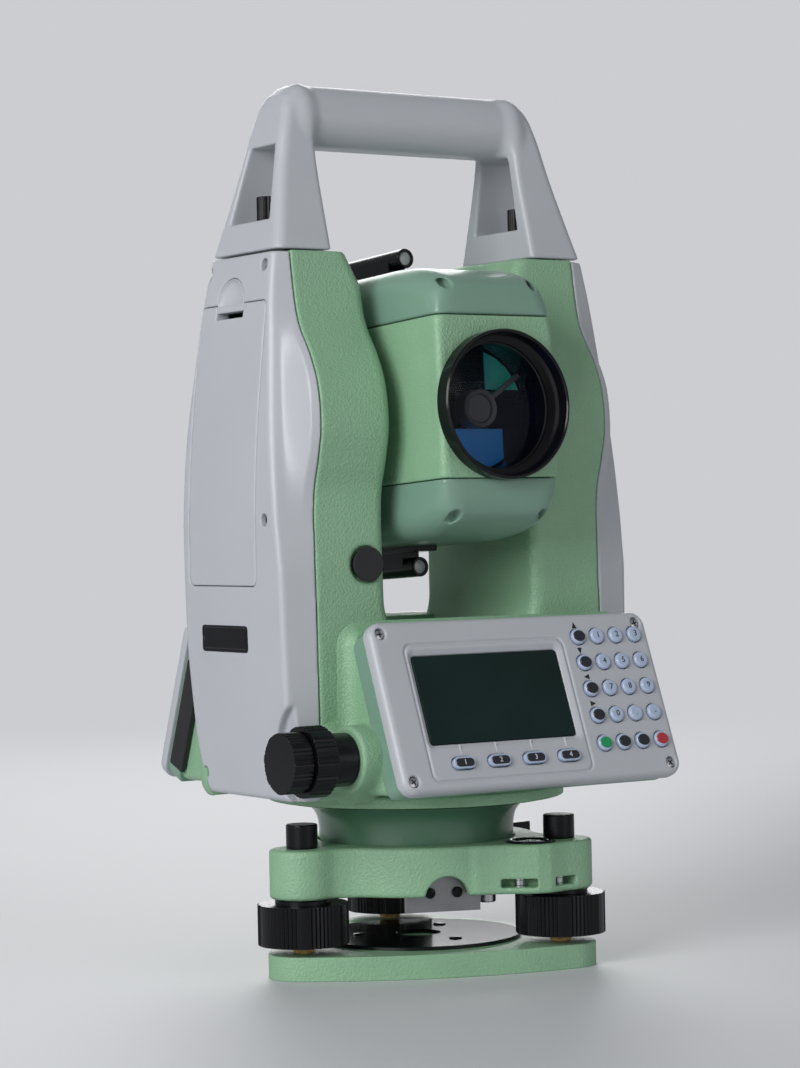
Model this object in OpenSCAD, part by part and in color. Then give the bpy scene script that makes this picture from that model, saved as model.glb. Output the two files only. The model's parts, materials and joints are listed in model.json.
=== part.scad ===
// Surveying total station on its tribrach, millimetres, +Z up.
// Origin: bottom face of the base plate, on the vertical axis. The operator's main display faces -Y,
// the objective points to -Y, and +X is to the operator's right.

/* [Tribrach] */
// Radius of the circle through the three foot-screw axes
foot_circle_r = 60; // [58:0.5:66]
// Turn of the tribrach against the instrument, in degrees
tribrach_turn = -21.9; // [-25:0.1:-15]
// Thickness of the base plate
base_t = 9.5; // [8:0.5:12]
// Corner radius of the base plate
base_corner_r = 14; // [12:0.5:16]
// Distance from the axis to the middle of a base-plate side
base_side = 52.2; // [50:0.1:56]
// Radius of the tripod thread's wall, for a 5/8 inch stud
tripod_r = 7.94; // [7.5:0.01:9]
// Radius of the spring plate
spring_r = 41.6; // [36:0.1:43]
// Thickness of the spring plate
spring_t = 1.5; // [1:0.1:2]
// Height of the gap under a foot-screw knob
knob_gap = 3.5; // [3:0.1:6]
// Radius of a foot-screw knob
knob_r = 18; // [16:0.5:19]
// Height of a foot-screw knob
knob_h = 16; // [12:0.5:18]
// Radius of a foot-screw shaft
shaft_r = 5; // [4:0.1:5.4]
// Gap between a knob's collar and the tribrach body
collar_gap = 0.4; // [0.3:0.1:2]
// Height of the tribrach body
body_h = 19.5; // [18:0.5:24]
// Radius of the tribrach body's round middle
body_r = 49; // [46:0.5:52]
// Radius of the body's arm ends
arm_r = 13; // [11:0.5:14]
// Radius of a foot-screw cap
cap_r = 6.25; // [6:0.05:8]
// Height of a foot-screw cap
cap_h = 9.5; // [6:0.5:12]
// Radius of the bubble vial's housing
vial_r = 9.5; // [8:0.5:10]

/* [Neck and spindle] */
// Radius of the centring base where it stands in the tribrach
neck_r = 39.4; // [36:0.1:41]
// Radius of the centring base at its top
neck_top_r = 56; // [50:0.5:59]
// Height of the neck above the tribrach body
neck_h = 15.8; // [12:0.1:20]
// Radius of the vertical spindle
spindle_r = 12; // [9:0.5:16]

/* [Alidade] */
// Gap between the neck and the alidade's flange
turn_gap = 0.5; // [0.3:0.1:0.9]
// Radius of the alidade's bottom flange
flange_r = 60; // [57:0.5:64]
// Thickness of the flange
flange_t = 4.4; // [3:0.1:6]
// Height of the trunnion axis above the alidade's flange
trunnion_rise = 152; // [150:0.5:158]
// Half distance between the standards' inner faces
standard_in = 35; // [34:0.5:38]
// Distance from the middle to the joint between yoke and covers
seam_x = 67.5; // [66:0.5:69]
// Radius of the trunnion stubs
trunnion_r = 9; // [7:0.5:11]
// Wall thickness of the covers
cover_wall = 3; // [2:0.5:4]

/* [Handle] */
// Height from the handle's feet to its top
handle_h = 68; // [62:1:72]
// Radius of the handle's bar
grip_r = 13; // [11:0.5:14]
// Radius of a handle screw's head
handle_screw_r = 5.3; // [4:0.1:6]

/* [Telescope] */
// Pitch of the telescope at rest, objective up, in degrees
pitch = 3; // [0:0.5:5]
// Half width of the telescope's housing
scope_x = 27.5; // [26:0.5:28.5]
// Radius of the objective ring
objective_r = 29.1; // [28:0.1:30]
// Free radius of the objective lens
lens_r = 24; // [20:0.5:24]
// Distance from the trunnion axis to the front of the objective ring
objective_reach = 71.4; // [70:0.1:75]

/* [Display units] */
// Width of a display's bezel
bezel_w = 132; // [130:0.5:134]
// Height of a display's bezel
bezel_h = 69; // [68:0.5:72]
// Thickness of a display's bezel
bezel_t = 5.5; // [4.5:0.1:7]
// Tilt of the display from upright, in degrees
display_tilt = 21.6; // [18:0.1:24]
// Width of the screen window
lcd_w = 68.4; // [64:0.1:72]
// Height of the screen window
lcd_h = 35.8; // [33:0.1:38]
// Radius of a round key
key_r = 3.2; // [2.6:0.1:3.6]
// Travel of a key
key_travel = 0.8; // [0.5:0.1:1]

/* [Clamps] */
// Radius of a clamp ring
clamp_r = 13.7; // [12:0.1:14.5]
// Radius of a tangent knob
tangent_r = 11.7; // [10:0.1:12.5]
// Radius of the horizontal clamp's sleeve
sleeve_r = 10.2; // [9:0.1:11]

/* [Hidden] */
$fn = 64;

running = 0.05;   // radial clearance of a shaft that turns in its bore
free_gap = 0.3;   // gap between pieces that move past each other
seam = 0.2;       // gap at a seam between two casings
over = 1;         // how far a cutter runs past the face that it cuts

// Heights from the ground up
knob_z = base_t + knob_gap;
collar_z = knob_z + knob_h;
collar_h = 1.6;
body_z = collar_z + collar_h + collar_gap;
body_top = body_z + body_h;
flange_z = body_top + neck_h + turn_gap;
alidade_z = flange_z + flange_t;
trunnion_z = flange_z + trunnion_rise;
standards_top = trunnion_z + 65.2;
deck_z = trunnion_z - 94.8;
spindle_top = deck_z - 6;

// Colours
textured_green = [0.50, 0.66, 0.51];
smooth_green = [0.51, 0.65, 0.58];
dark_green = [0.30, 0.42, 0.33];
white = [0.80, 0.81, 0.84];
black = [0.08, 0.08, 0.10];
key_blue = [0.68, 0.74, 0.83];

function arc(cx, cy, r, from, to, steps) =
    [for (i = [0 : steps]) let (a = from + (to - from) * i / steps) [cx + r * cos(a), cy + r * sin(a)]];
function mirrored(points) = [for (i = [len(points) - 1 : -1 : 0]) [-points[i][0], points[i][1]]];

module at_feet() {
    for (i = [0 : 2]) rotate(tribrach_turn + 90 + 120 * i) translate([foot_circle_r, 0, 0]) children();
}
module at_foot(i) { rotate(tribrach_turn + 90 + 120 * i) translate([foot_circle_r, 0, 0]) children(); }
// A profile drawn in (X, Z) and run along Y, or drawn in (Y, Z) and run along X
module along_y(from, to) { translate([0, to, 0]) rotate([90, 0, 0]) linear_extrude(to - from) children(); }
module along_x(from, to) {
    translate([from, 0, 0]) rotate([90, 0, 90]) linear_extrude(to - from) children();
}
module rounded_rect(w, h, r) {
    square([w - 2 * r, h], center = true);
    square([w, h - 2 * r], center = true);
    for (sx = [-1, 1], sy = [-1, 1]) translate([sx * (w / 2 - r), sy * (h / 2 - r)]) circle(r);
}
// Fluted outline of a knob: teeth on an arc of each sector, and a smooth lobe between
function knob_outline(r, sectors, teeth, depth, smooth) = [
    for (s = [0 : sectors - 1], i = [0 : 2 * teeth + 2])
        let (span = 360 / sectors, toothed = span * (1 - smooth),
             a = s * span + (i <= 2 * teeth ? toothed * i / (2 * teeth)
                                             : toothed + (span - toothed) * (i - 2 * teeth) / 3),
             q = i > 2 * teeth || i % 2 == 0 ? r : r - depth)
        [q * cos(a), q * sin(a)]];

// ---------- Tribrach ----------

// The rounded triangle of the base plate: three large arcs that run into the corner arcs
function base_outline() =
    let (inner = base_side - base_corner_r,
         back_off = (foot_circle_r * foot_circle_r - inner * inner) / (2 * inner - foot_circle_r),
         corner = foot_circle_r * [cos(-30), sin(-30)],
         lean = atan2(corner[0], back_off - corner[1]))
    [for (i = [0 : 2]) each [for (p = concat(
        arc(0, back_off, back_off + base_side, -90 - lean, -90 + lean, 16),
        arc(corner[0], corner[1], base_corner_r, -84 + lean, 24 - lean, 12)))
        [p[0] * cos(120 * i) - p[1] * sin(120 * i), p[0] * sin(120 * i) + p[1] * cos(120 * i)]]];

module base_plate() {
    seat_z = base_t - 2.5;
    color(textured_green) rotate(tribrach_turn) difference() {
        linear_extrude(base_t) polygon(base_outline());
        translate([0, 0, -over]) cylinder(r = tripod_r, h = base_t + 2 * over);
        for (i = [0 : 2]) rotate(90 + 120 * i) translate([foot_circle_r, 0, seat_z])
            cylinder(r = foot_tip_r + running, h = base_t);
    }
}

bracket_w = 30;
bracket_z = body_z - 6.5;
recess_h = 7;
recess_r = 44;
cutout_turn = 251;

// The sprung disc on the base plate, and the steel bracket that hangs in the body's front cut-out
module spring_plate() {
    color(black) translate([0, 0, base_t]) difference() {
        cylinder(r = spring_r, h = spring_t, $fn = 128);
        translate([0, 0, -over]) cylinder(r = tripod_r + 1, h = spring_t + 2 * over);
    }
    color([0.3, 0.3, 0.32]) rotate(cutout_turn) {
        translate([recess_r - 6, -bracket_w / 2, bracket_z])
            cube([3, bracket_w, body_z + recess_h - bracket_z]);
        for (y = [-5.5, 5.5]) translate([recess_r - 3, y, body_z + 1]) rotate([0, 90, 0])
            cylinder(r = 2.1, h = 1.4);
        translate([recess_r - 11, bracket_w / 2 + 5, body_z - 4.5]) cylinder(r = 3.5, h = recess_h + 4.5);
    }
}

foot_tip_r = 3;

module footscrew(i) {
    color(black) at_foot(i) {
        translate([0, 0, knob_z]) linear_extrude(knob_h)
            polygon(knob_outline(knob_r, 6, 8, 0.7, 0.28));
        translate([0, 0, collar_z]) cylinder(r = 11, h = collar_h);
        translate([0, 0, collar_z]) cylinder(r = shaft_r, h = body_top - collar_z - 0.5);
        translate([0, 0, base_t - 2.2]) cylinder(r = foot_tip_r, h = knob_z - base_t + 2.2 + over);
        translate([0, 0, base_t + free_gap]) for (k = [0 : 5]) rotate(60 * k) translate([2.7, 0, 0])
            cylinder(r = 1.7, h = knob_gap - free_gap + over / 2);
    }
}

module footscrew_caps() {
    color(black) at_feet() translate([0, 0, body_top]) difference() {
        cylinder(r = cap_r, h = cap_h);
        translate([0, 0, -over]) cylinder(r = shaft_r, h = cap_h - 2 + over);
    }
}

vial_pos = [20.4, -50.8];
vial_depth = 8;

module tribrach_outline() {
    circle(body_r, $fn = 128);
    at_feet() circle(arm_r);
    at_feet() translate([-foot_circle_r / 2, 0])
        square([foot_circle_r, 2 * arm_r], center = true);
    // The swelling that holds the bubble vial
    polygon([[0, -30], [-4, -body_r], [6, -54.5], [16.5, -62], [21.5, -63.2], [25, -62.5], [42, -59],
             [37, -47]]);
}

module tribrach_body() {
    slot = [13, 4, 3.6];
    color(textured_green) difference() {
        translate([0, 0, body_z]) linear_extrude(body_h) tribrach_outline();
        translate([0, 0, body_z - over]) cylinder(r = recess_r, h = recess_h + over, $fn = 128);
        translate([0, 0, body_top - 6]) cylinder(r = neck_r + free_gap, h = 6 + over, $fn = 128);
        translate([0, 0, body_z]) cylinder(r = 30 + free_gap, h = body_h + over);
        at_feet() translate([0, 0, body_z - over]) cylinder(r = shaft_r + running, h = body_h + 2 * over);
        translate([vial_pos[0], vial_pos[1], body_top - vial_depth])
            cylinder(r = vial_r + running, h = vial_depth + over);
        // The arched cut-out in the front wall
        rotate(cutout_turn) translate([recess_r - 4, 0, body_z - 1]) rotate([0, 90, 0])
            cylinder(r = 9, h = 12);
        // The bore of the lock knob
        rotate(lock_turn) translate([30, 0, lock_z]) rotate([0, 90, 0])
            cylinder(r = lock_shaft_r + running, h = 30);
    }
}

lock_turn = 8.1;
lock_z = body_top - 11;
lock_shaft_r = 3.5;

module lock_knob() {
    color(black) rotate(lock_turn) translate([0, 0, lock_z]) rotate([0, 90, 0]) {
        translate([0, 0, body_r + free_gap]) linear_extrude(12)
            union() {
                circle(8);
                translate([-8, 0]) square([8, 6], center = true);
            }
        translate([0, 0, 31]) cylinder(r = lock_shaft_r, h = body_r - 30);
    }
}

module circular_vial() {
    translate([vial_pos[0], vial_pos[1], body_top - vial_depth]) {
        color(black) difference() {
            cylinder(r = vial_r, h = vial_depth + 0.8);
            translate([0, 0, 2]) cylinder(r = vial_r - 3, h = vial_depth);
        }
        color([0.85, 0.9, 0.7, 0.5]) translate([0, 0, 2]) cylinder(r = vial_r - 3, h = vial_depth - 1.6);
    }
}

// The neck that stands in the tribrach, with the vertical spindle on top
module centring_base() {
    step = neck_h;
    color(dark_green) difference() {
        rotate_extrude($fn = 128) polygon(concat(
            [[0, body_z + 4], [30, body_z + 4], [30, body_top - 6], [neck_r, body_top - 6]],
            [for (i = [0 : 12]) let (t = i / 12)
                [neck_r + (neck_top_r - neck_r) * pow(t, 3), body_top + 1 + (step - 1) * sin(90 * t)]],
            [[spindle_r, body_top + step], [spindle_r, spindle_top], [0, spindle_top]]));
        // The tunnel of the laser plummet
        translate([0, 0, body_z]) cylinder(r = 5, h = spindle_top - 10 - body_z);
    }
}

// ---------- Alidade ----------

// Side view of a standard, (Y, Z): waisted below the trunnion axis, swollen beside it
function side_points() = let (t = trunnion_z) concat(
    [[-38, alidade_z], [-37, 147], [-36, t - 41], [-36.4, t - 30], [-39.5, t - 19]],
    arc(-22, t - 0.5, 21.4, 205, 152, 5),
    [[-35.5, t + 25], [-28.7, t + 35], [-26, t + 42], [-23.5, t + 54], [-22, standards_top],
     [30, standards_top], [33.4, t + 46], [37, t + 19], [40, t - 4], [41.5, t - 24], [43, t - 44],
     [43, 155], [42.5, 131], [40, 107], [38.4, 88], [32, alidade_z]]);
// Front view of a cover's outer face, (X, Z)
function cover_points(inset) = let (t = trunnion_z) [
    [79 - inset, alidade_z], [80 - inset, 87], [81.8 - inset, 109], [82.4 - inset, 139],
    [83 - inset, 165], [83.1 - inset, t - 34], [81.7 - inset, t - 3], [77.6 - inset, t + 42],
    [74.3 - inset, standards_top]];

module side_profile() { polygon(side_points()); }

deck_r = 24;   // radius of the deck's corners, between the standards

module yoke_front() {
    t = trunnion_z;
    half = concat([[seam_x - seam / 2, alidade_z], [seam_x - seam / 2, standards_top], [41, standards_top],
                   [standard_in + 0.5, t + 53]],
                  arc(standard_in - deck_r, deck_z + deck_r, deck_r, 0, -90, 8));
    polygon(concat(half, mirrored(half)));
}

module yoke() {
    pocket = [25, 50, standards_top - 14 - 84];
    color(textured_green) difference() {
        union() {
            intersection() {
                along_y(-60, 60) yoke_front();
                along_x(-90, 90) side_profile();
            }
            translate([0, 0, flange_z]) cylinder(r = flange_r, h = flange_t, $fn = 128);
        }
        translate([0, 0, flange_z - over]) cylinder(r = spindle_r + running, h = spindle_top - flange_z + 1.5);
        // Equipment bays behind the covers, open to the side
        for (sx = [-1, 1]) translate([sx * (seam_x - 11) - pocket[0] / 2, -20, 84]) cube(pocket);
        translate([0, 0, trunnion_z]) rotate([0, 90, 0])
            cylinder(r = trunnion_r + running, h = 2 * seam_x, center = true);
        for (sx = [-1, 1]) translate([sx * handle_foot_x, handle_mid_y, standards_top - 12])
            cylinder(r = 2.5 + running, h = 13);
        port_plug_hole();
        clamp_boss_bore();
        vertical_clamp_bore();
        for (turn = [0, 180]) display_cable_hole(turn);
    }
}

module display_cable_hole(turn) {
    rotate(turn) translate([-48, -26, 100]) rotate([90, 0, 0]) cylinder(r = 3, h = 20);
}

port_pos = [-44.4, trunnion_z - 57.2];
port_r = 6.8;
module port_plug_hole() {
    translate([port_pos[0], -34, port_pos[1]]) rotate([90, 0, 0]) cylinder(r = port_r - 1 + seam, h = 10);
}

module port_covers() {
    color(black) {
        translate([port_pos[0], -36.8, port_pos[1]]) rotate([90, 0, 0]) cylinder(r = port_r, h = 1.2);
        translate([port_pos[0], -34, port_pos[1]]) rotate([90, 0, 0]) cylinder(r = port_r - 1, h = 3);
        rotate(180) in_display() translate([bezel_w / 2 - bezel_inset, -26, -18.5]) cube([2, 46, 10]);
    }
}

module cover_shell() {
    difference() {
        intersection() {
            along_y(-60, 60) polygon(concat([[seam_x + seam / 2, standards_top - seam],
                                             [seam_x + seam / 2, alidade_z]], cover_points(0)));
            along_x(0, 90) side_profile();
        }
        intersection() {
            along_y(-60, 60) polygon(concat([[60, standards_top], [60, alidade_z]], cover_points(cover_wall)));
            translate([0, -33.5, alidade_z + 6]) cube([90, 66, standards_top - alidade_z - 12]);
        }
    }
}

// Door of the battery in the left cover: leaning sides, (Y, Z)
door_top = trunnion_z + 45.7;
door_bottom = trunnion_z - 64.8;
door = [[-19.5, door_top], [31, door_top], [36, door_bottom], [-16.5, door_bottom]];
latch_y = 8.5;
latch_r = 10.2;
latch_bottom = door_top - 3;
latch_slot = 2.5;
module door_outline(gap) {
    polygon([[door[0][0] - gap, door[0][1] + gap], [door[1][0] + gap, door[1][1] + gap],
             [door[2][0] + gap, door[2][1] - gap], [door[3][0] - gap, door[3][1] - gap]]);
}
module latch_outline(gap) {
    difference() {
        translate([latch_y, door_top]) circle(latch_r + gap);
        translate([latch_y - 20, door_top - 40]) square(40);
    }
    translate([latch_y - latch_r - gap, latch_bottom - gap])
        square([2 * (latch_r + gap), door_top - latch_bottom + gap]);
}

// Recess in a cover's front edge that leaves room for fingers at the horizontal knobs
module finger_recess() {
    translate([-100, clamp_y, clamp_z]) rotate([0, 90, 0]) cylinder(r = clamp_r + 2, h = 34);
}

module left_cover() {
    color(white) difference() {
        mirror([1, 0, 0]) cover_shell();
        along_x(-95, -60) door_outline(seam);
        along_x(-95, -60) latch_outline(seam);
        finger_recess();
        cover_screw_holes(-1);
    }
}

module right_cover() {
    color(white) difference() {
        cover_shell();
        translate([60, vertical_y, vertical_z]) rotate([0, 90, 0])
            cylinder(r = sleeve_r - 1 + running, h = 40);
        cover_screw_holes(1);
    }
}

// Screws of a cover, (Y, Z)
cover_screws = [[27.6, standards_top - 6.5], [-14.5, standards_top - 5.5], [-24.1, 179.5], [31.5, 79.3]];
cover_screw_r = 1.9;
module cover_screw_holes(side) {
    for (p = cover_screws) translate([side * 87, p[0], p[1]]) rotate([0, side * -90, 0])
        cylinder(r = cover_screw_r + seam, h = 24);
}

module battery() {
    pack_front = seam_x - 16;
    color(white) difference() {
        intersection() {
            mirror([1, 0, 0]) along_y(-60, 60)
                polygon(concat([[seam_x + 4, standards_top], [seam_x + 4, alidade_z]], cover_points(0)));
            along_x(-95, -60) door_outline(0);
        }
        along_x(-95, -60) translate([latch_y - latch_r - free_gap, latch_bottom - latch_slot])
            square([2 * (latch_r + free_gap), 20]);
    }
    color(black) translate([-seam_x - 4, -12, door_bottom + 6])
        cube([seam_x + 4 - pack_front, 36, door_top - door_bottom - 16]);
}

module battery_latch() {
    color(white) intersection() {
        mirror([1, 0, 0]) along_y(-60, 60)
            polygon(concat([[seam_x + 4, standards_top], [seam_x + 4, alidade_z]], cover_points(0.4)));
        along_x(-95, -60) latch_outline(0);
    }
}

// ---------- Handle ----------

handle_mid_y = 4.25;
handle_foot_x = 60.7;
handle_in = 48;
window_floor = standards_top + 13;
window_top = standards_top + handle_h - 25;
grip_z = standards_top + handle_h - grip_r;

module handle_side() {
    translate([handle_mid_y, grip_z]) circle(grip_r);
    translate([handle_mid_y, 0]) polygon([[-26.2, standards_top], [26.2, standards_top],
        [16.3, standards_top + 36], [grip_r * cos(6), grip_z + grip_r * sin(6)],
        [-grip_r * cos(6), grip_z + grip_r * sin(6)], [-16.3, standards_top + 36]]);
}

module handle_leg_front() {
    top = standards_top + handle_h;
    polygon([[handle_in, standards_top], [73.4, standards_top], [67, standards_top + 29],
             [59, top - 8], [57, top - 3.6], [54, top - 1], [50, top], [handle_in, top]]);
}

module handle() {
    color(white) difference() {
        union() {
            for (m = [0, 1]) mirror([m, 0, 0]) intersection() {
                along_y(-40, 50) handle_leg_front();
                along_x(0, 90) handle_side();
            }
            translate([0, handle_mid_y, grip_z]) rotate([0, 90, 0])
                cylinder(r = grip_r, h = 2 * handle_in + 4, center = true);
        }
        along_x(-90, 90) translate([handle_mid_y, 0]) polygon([[-15, window_floor], [15, window_floor],
            [9.5, window_top], [-9.5, window_top]]);
        for (sx = [-1, 1]) translate([sx * handle_foot_x, handle_mid_y, standards_top - over])
            cylinder(r = 2.5 + running, h = 20);
    }
}

module handle_screw(side) {
    color(black) translate([side * handle_foot_x, handle_mid_y, 0]) {
        translate([0, 0, window_floor + 0.1]) linear_extrude(10)
            polygon(knob_outline(handle_screw_r, 1, 30, 0.35, 0.02));
        translate([0, 0, standards_top - 11]) cylinder(r = 2.5, h = window_floor - standards_top + 11.2);
    }
}

// ---------- Display units ----------

display_pos = [9.1, -67.8, trunnion_z - 110.8];
bezel_inset = 2;      // how far the housing stands in from the bezel's edge
lcd_mid = [-15, 2.3];
frame_mid = [-14.8, -2.9];
key_columns = [30.6, 39.9, 49.2, 58.5];
key_rows = [24.5, 13.6, 2.7, -8.4, -19.9];
f_key_columns = [-37.4, -20.9, -4.4, 12.1];
f_key_row = -23.8;
f_key_w = 10;
f_key_h = 4.6;
key_stem = bezel_t - 0.5;
key_proud = 1.3;
corner_screws = [for (sx = [-1, 1], sy = [-1, 1]) [sx * (bezel_w / 2 - 5), sy * (bezel_h / 2 - 5)]];

module in_display() { translate(display_pos) rotate([90 - display_tilt, 0, 0]) children(); }

module key_outline(row, column, gap) {
    if (row == 5) translate([f_key_columns[column], f_key_row])
        rounded_rect(f_key_w + 2 * gap, f_key_h + 2 * gap, f_key_h / 2 + gap - 0.01);
    else translate([key_columns[column], key_rows[row]]) circle(key_r + gap, $fn = 32);
}

module key(row, column) {
    tint = row == 5 ? key_blue : row < 4 && column > 0 ? key_blue
         : row < 4 ? black : column == 0 ? [0.06, 0.55, 0.3] : column == 3 ? [0.75, 0.15, 0.2] : black;
    color(tint) in_display() translate([0, 0, -key_stem]) linear_extrude(key_stem + key_proud)
        key_outline(row, column, 0);
}

module rear_keypad() {
    rotate(180) for (row = [0 : 5], column = [0 : 3]) key(row, column);
}

module bezel() {
    in_display() difference() {
        translate([0, 0, -bezel_t]) linear_extrude(bezel_t) rounded_rect(bezel_w, bezel_h, 6);
        translate([lcd_mid[0], lcd_mid[1], -bezel_t - over]) linear_extrude(bezel_t + 2 * over)
            rounded_rect(lcd_w, lcd_h, 1.5);
        translate([0, 0, -bezel_t - over]) linear_extrude(bezel_t + 2 * over)
            for (row = [0 : 5], column = [0 : 3]) key_outline(row, column, free_gap);
        for (p = corner_screws) translate([p[0], p[1], -bezel_t - over])
            cylinder(r = 2 + seam, h = bezel_t + 2 * over);
        // Shallow frame around the screen and the function keys
        translate([frame_mid[0], frame_mid[1], -0.5]) linear_extrude(over)
            difference() {
                rounded_rect(74.8, 55, 3);
                rounded_rect(74, 54.2, 2.6);
            }
    }
}

module display_bezels() { color(white) for (turn = [0, 180]) rotate(turn) bezel(); }

module lcd_windows() {
    color([0.12, 0.17, 0.16]) for (turn = [0, 180]) rotate(turn) in_display()
        translate([lcd_mid[0], lcd_mid[1], -bezel_t]) linear_extrude(bezel_t - 1.2)
            rounded_rect(lcd_w - 2 * seam, lcd_h - 2 * seam, 1.4);
}

// Front boundary of yoke and covers, as a block that the housings are cut back to
module standards_block() { along_x(-90, 90) side_profile(); }

module display_housing(turn) {
    w = bezel_w - 2 * bezel_inset;
    h = bezel_h - 2 * bezel_inset;
    wall = 1.8;
    depth = key_travel + 5;
    tilt = [sin(display_tilt), cos(display_tilt)];
    back = [display_pos[1] + bezel_t * tilt[1], display_pos[2] - bezel_t * tilt[0]];
    top = back + tilt * h / 2;
    bottom = back - tilt * h / 2;
    difference() {
        along_x(display_pos[0] - w / 2, display_pos[0] + w / 2)
            polygon([bottom, top, [-30, top[1] - 3], [-30, alidade_z + 2], [bottom[0] + 16, alidade_z + 2]]);
        rotate(turn) standards_block();
        // Room for the circuit board and the keys' travel
        in_display() translate([-w / 2 + wall, -h / 2 + wall, -bezel_t - depth])
            cube([w - 2 * wall, h - 2 * wall, depth + over]);
    }
}

module display_housings() {
    color(textured_green) {
        difference() {
            union() {
                display_housing(0);
                // Boss of the horizontal clamp
                translate([boss_x, clamp_y, clamp_z]) rotate([0, 90, 0]) cylinder(r = 12.8, h = 14);
            }
            standards_block();
            clamp_boss_bore();
            in_display() translate([-bezel_w / 2, -bezel_h / 2, -bezel_t]) cube([bezel_w, bezel_h, 30]);
        }
        rotate(180) display_housing(180);
    }
}

module case_screws() {
    color([0.6, 0.6, 0.62]) {
        for (turn = [0, 180]) rotate(turn) in_display() for (p = corner_screws)
            translate([p[0], p[1], -bezel_t]) cylinder(r = 2, h = bezel_t - 1);
        for (side = [-1, 1], p = cover_screws) translate([side * (seam_x + seam), p[0], p[1]])
            rotate([0, side * 90, 0]) cylinder(r = cover_screw_r, h = 4.5);
    }
}

// ---------- Clamps ----------

clamp_y = -50;
clamp_z = trunnion_z - 130.8;
boss_x = display_pos[0] - bezel_w / 2 - 7.1;
ring_in = boss_x - 11.2;
ring_out = ring_in - 9.4;
knob_out = ring_out - 9;
clamp_shaft_r = 4;

module clamp_boss_bore() {
    translate([boss_x - over, clamp_y, clamp_z]) rotate([0, 90, 0])
        cylinder(r = clamp_shaft_r + running, h = 16);
}

// Ring and knob of a clamp along +X, from the wall at x = 0
module clamp_ring(sleeve, ring_w) {
    color(black) difference() {
        union() {
            translate([free_gap, 0, 0]) rotate([0, 90, 0]) cylinder(r = sleeve_r, h = sleeve);
            translate([sleeve, 0, 0]) rotate([90, 0, 90]) linear_extrude(ring_w)
                polygon(knob_outline(clamp_r, 6, 5, 0.6, 0.3));
        }
        translate([-over, 0, 0]) rotate([0, 90, 0])
            cylinder(r = clamp_shaft_r + running, h = sleeve + ring_w + 2 * over);
    }
}

module tangent_knob(reach, knob_w, depth) {
    color(black) {
        translate([reach + free_gap, 0, 0]) rotate([90, 0, 90]) linear_extrude(knob_w)
            polygon(knob_outline(tangent_r, 8, 4, 0.5, 0.3));
        translate([-depth, 0, 0]) rotate([0, 90, 0]) cylinder(r = clamp_shaft_r, h = depth + reach + 1);
    }
}

module at_horizontal_clamp() { translate([boss_x, clamp_y, clamp_z]) rotate(180) children(); }
module horizontal_clamp_ring() { at_horizontal_clamp() clamp_ring(boss_x - ring_in, ring_in - ring_out); }
module horizontal_tangent_knob() {
    at_horizontal_clamp() tangent_knob(boss_x - ring_out, ring_out - knob_out - free_gap, 12);
}

vertical_y = 22;
vertical_z = trunnion_z - 54;
vertical_x = 83.1;
module at_vertical_clamp() { translate([vertical_x, vertical_y, vertical_z]) children(); }
module vertical_clamp_ring() { at_vertical_clamp() clamp_ring(5, 8.5); }
module vertical_tangent_knob() {
    at_vertical_clamp() tangent_knob(13.5, 8, vertical_x - standard_in - 3);
}
module vertical_clamp_bore() {
    translate([standard_in + 2, vertical_y, vertical_z]) rotate([0, 90, 0])
        cylinder(r = clamp_shaft_r + running, h = 20);
}

// ---------- Telescope ----------

scope_front = objective_reach - 6.7;
scope_back = 48;
mid_low = -28;
mid_high = 35;
// Heights of the upper and lower covers above and below the trunnion axis
cover_high = [57, 51];
tube_r = lens_r + 1.6;
stub_in = scope_x - 1.3;

module in_telescope() { translate([0, 0, trunnion_z]) rotate([-pitch, 0, 0]) children(); }

module telescope_body() {
    color(textured_green) in_telescope() difference() {
        translate([-scope_x, -scope_front, mid_low]) cube([2 * scope_x, scope_front + scope_back, mid_high - mid_low]);
        rotate([90, 0, 0]) translate([0, 0, -scope_back - over])
            cylinder(r = 15 + running, h = scope_front + scope_back + 2 * over);
        // The tube's bore stops in front of the trunnions
        translate([0, -trunnion_r - 5, 0]) rotate([90, 0, 0])
            cylinder(r = tube_r + running, h = scope_front - trunnion_r - 5 + over);
        rotate([0, 90, 0]) cylinder(r = trunnion_r, h = 3 * scope_x, center = true);
    }
}

module telescope_covers() {
    r = 11;
    color(smooth_green) in_telescope() for (m = [0, 1]) mirror([0, 0, m]) {
        base = m == 0 ? mid_high : -mid_low;
        high = cover_high[m];
        intersection() {
            along_x(-scope_x, scope_x) polygon([[-scope_front, base + seam], [-scope_front, high - 13],
                [-scope_front + 2, high - 8], [-scope_front + 8, high - 3.6], [-scope_front + 18, high - 0.8],
                [-scope_front + 30, high], [scope_back - 16, high], [scope_back - 5, high - 5],
                [scope_back, high - 14], [scope_back, base + seam]]);
            along_y(-90, 90) polygon(concat([[scope_x, base]], arc(scope_x - r, high - r, r, 0, 90, 5),
                arc(-scope_x + r, high - r, r, 90, 180, 5), [[-scope_x, base]]));
        }
    }
}

module objective_ring() {
    tube_l = scope_front + 14;
    color(black) in_telescope() {
        translate([0, -objective_reach, 0]) rotate([-90, 0, 0]) difference() {
            union() {
                cylinder(r = objective_r, h = objective_reach - scope_front, $fn = 128);
                cylinder(r = tube_r, h = objective_reach - scope_front + tube_l - 30);
            }
            translate([0, 0, -over]) cylinder(r = lens_r, h = 200);
        }
        // Hub behind the lens on its arm
        translate([0, -scope_front + 12, 0]) rotate([90, 0, 0]) cylinder(r = 8, h = 6);
        translate([0, -scope_front + 8, -1.5]) cube([lens_r + 0.8, 4, 3]);
    }
}

module objective_lens() {
    color([0.3, 0.5, 0.6, 0.4]) in_telescope() translate([0, -objective_reach + 3, 0])
        rotate([-90, 0, 0]) cylinder(r = lens_r, h = 5);
}

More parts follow.
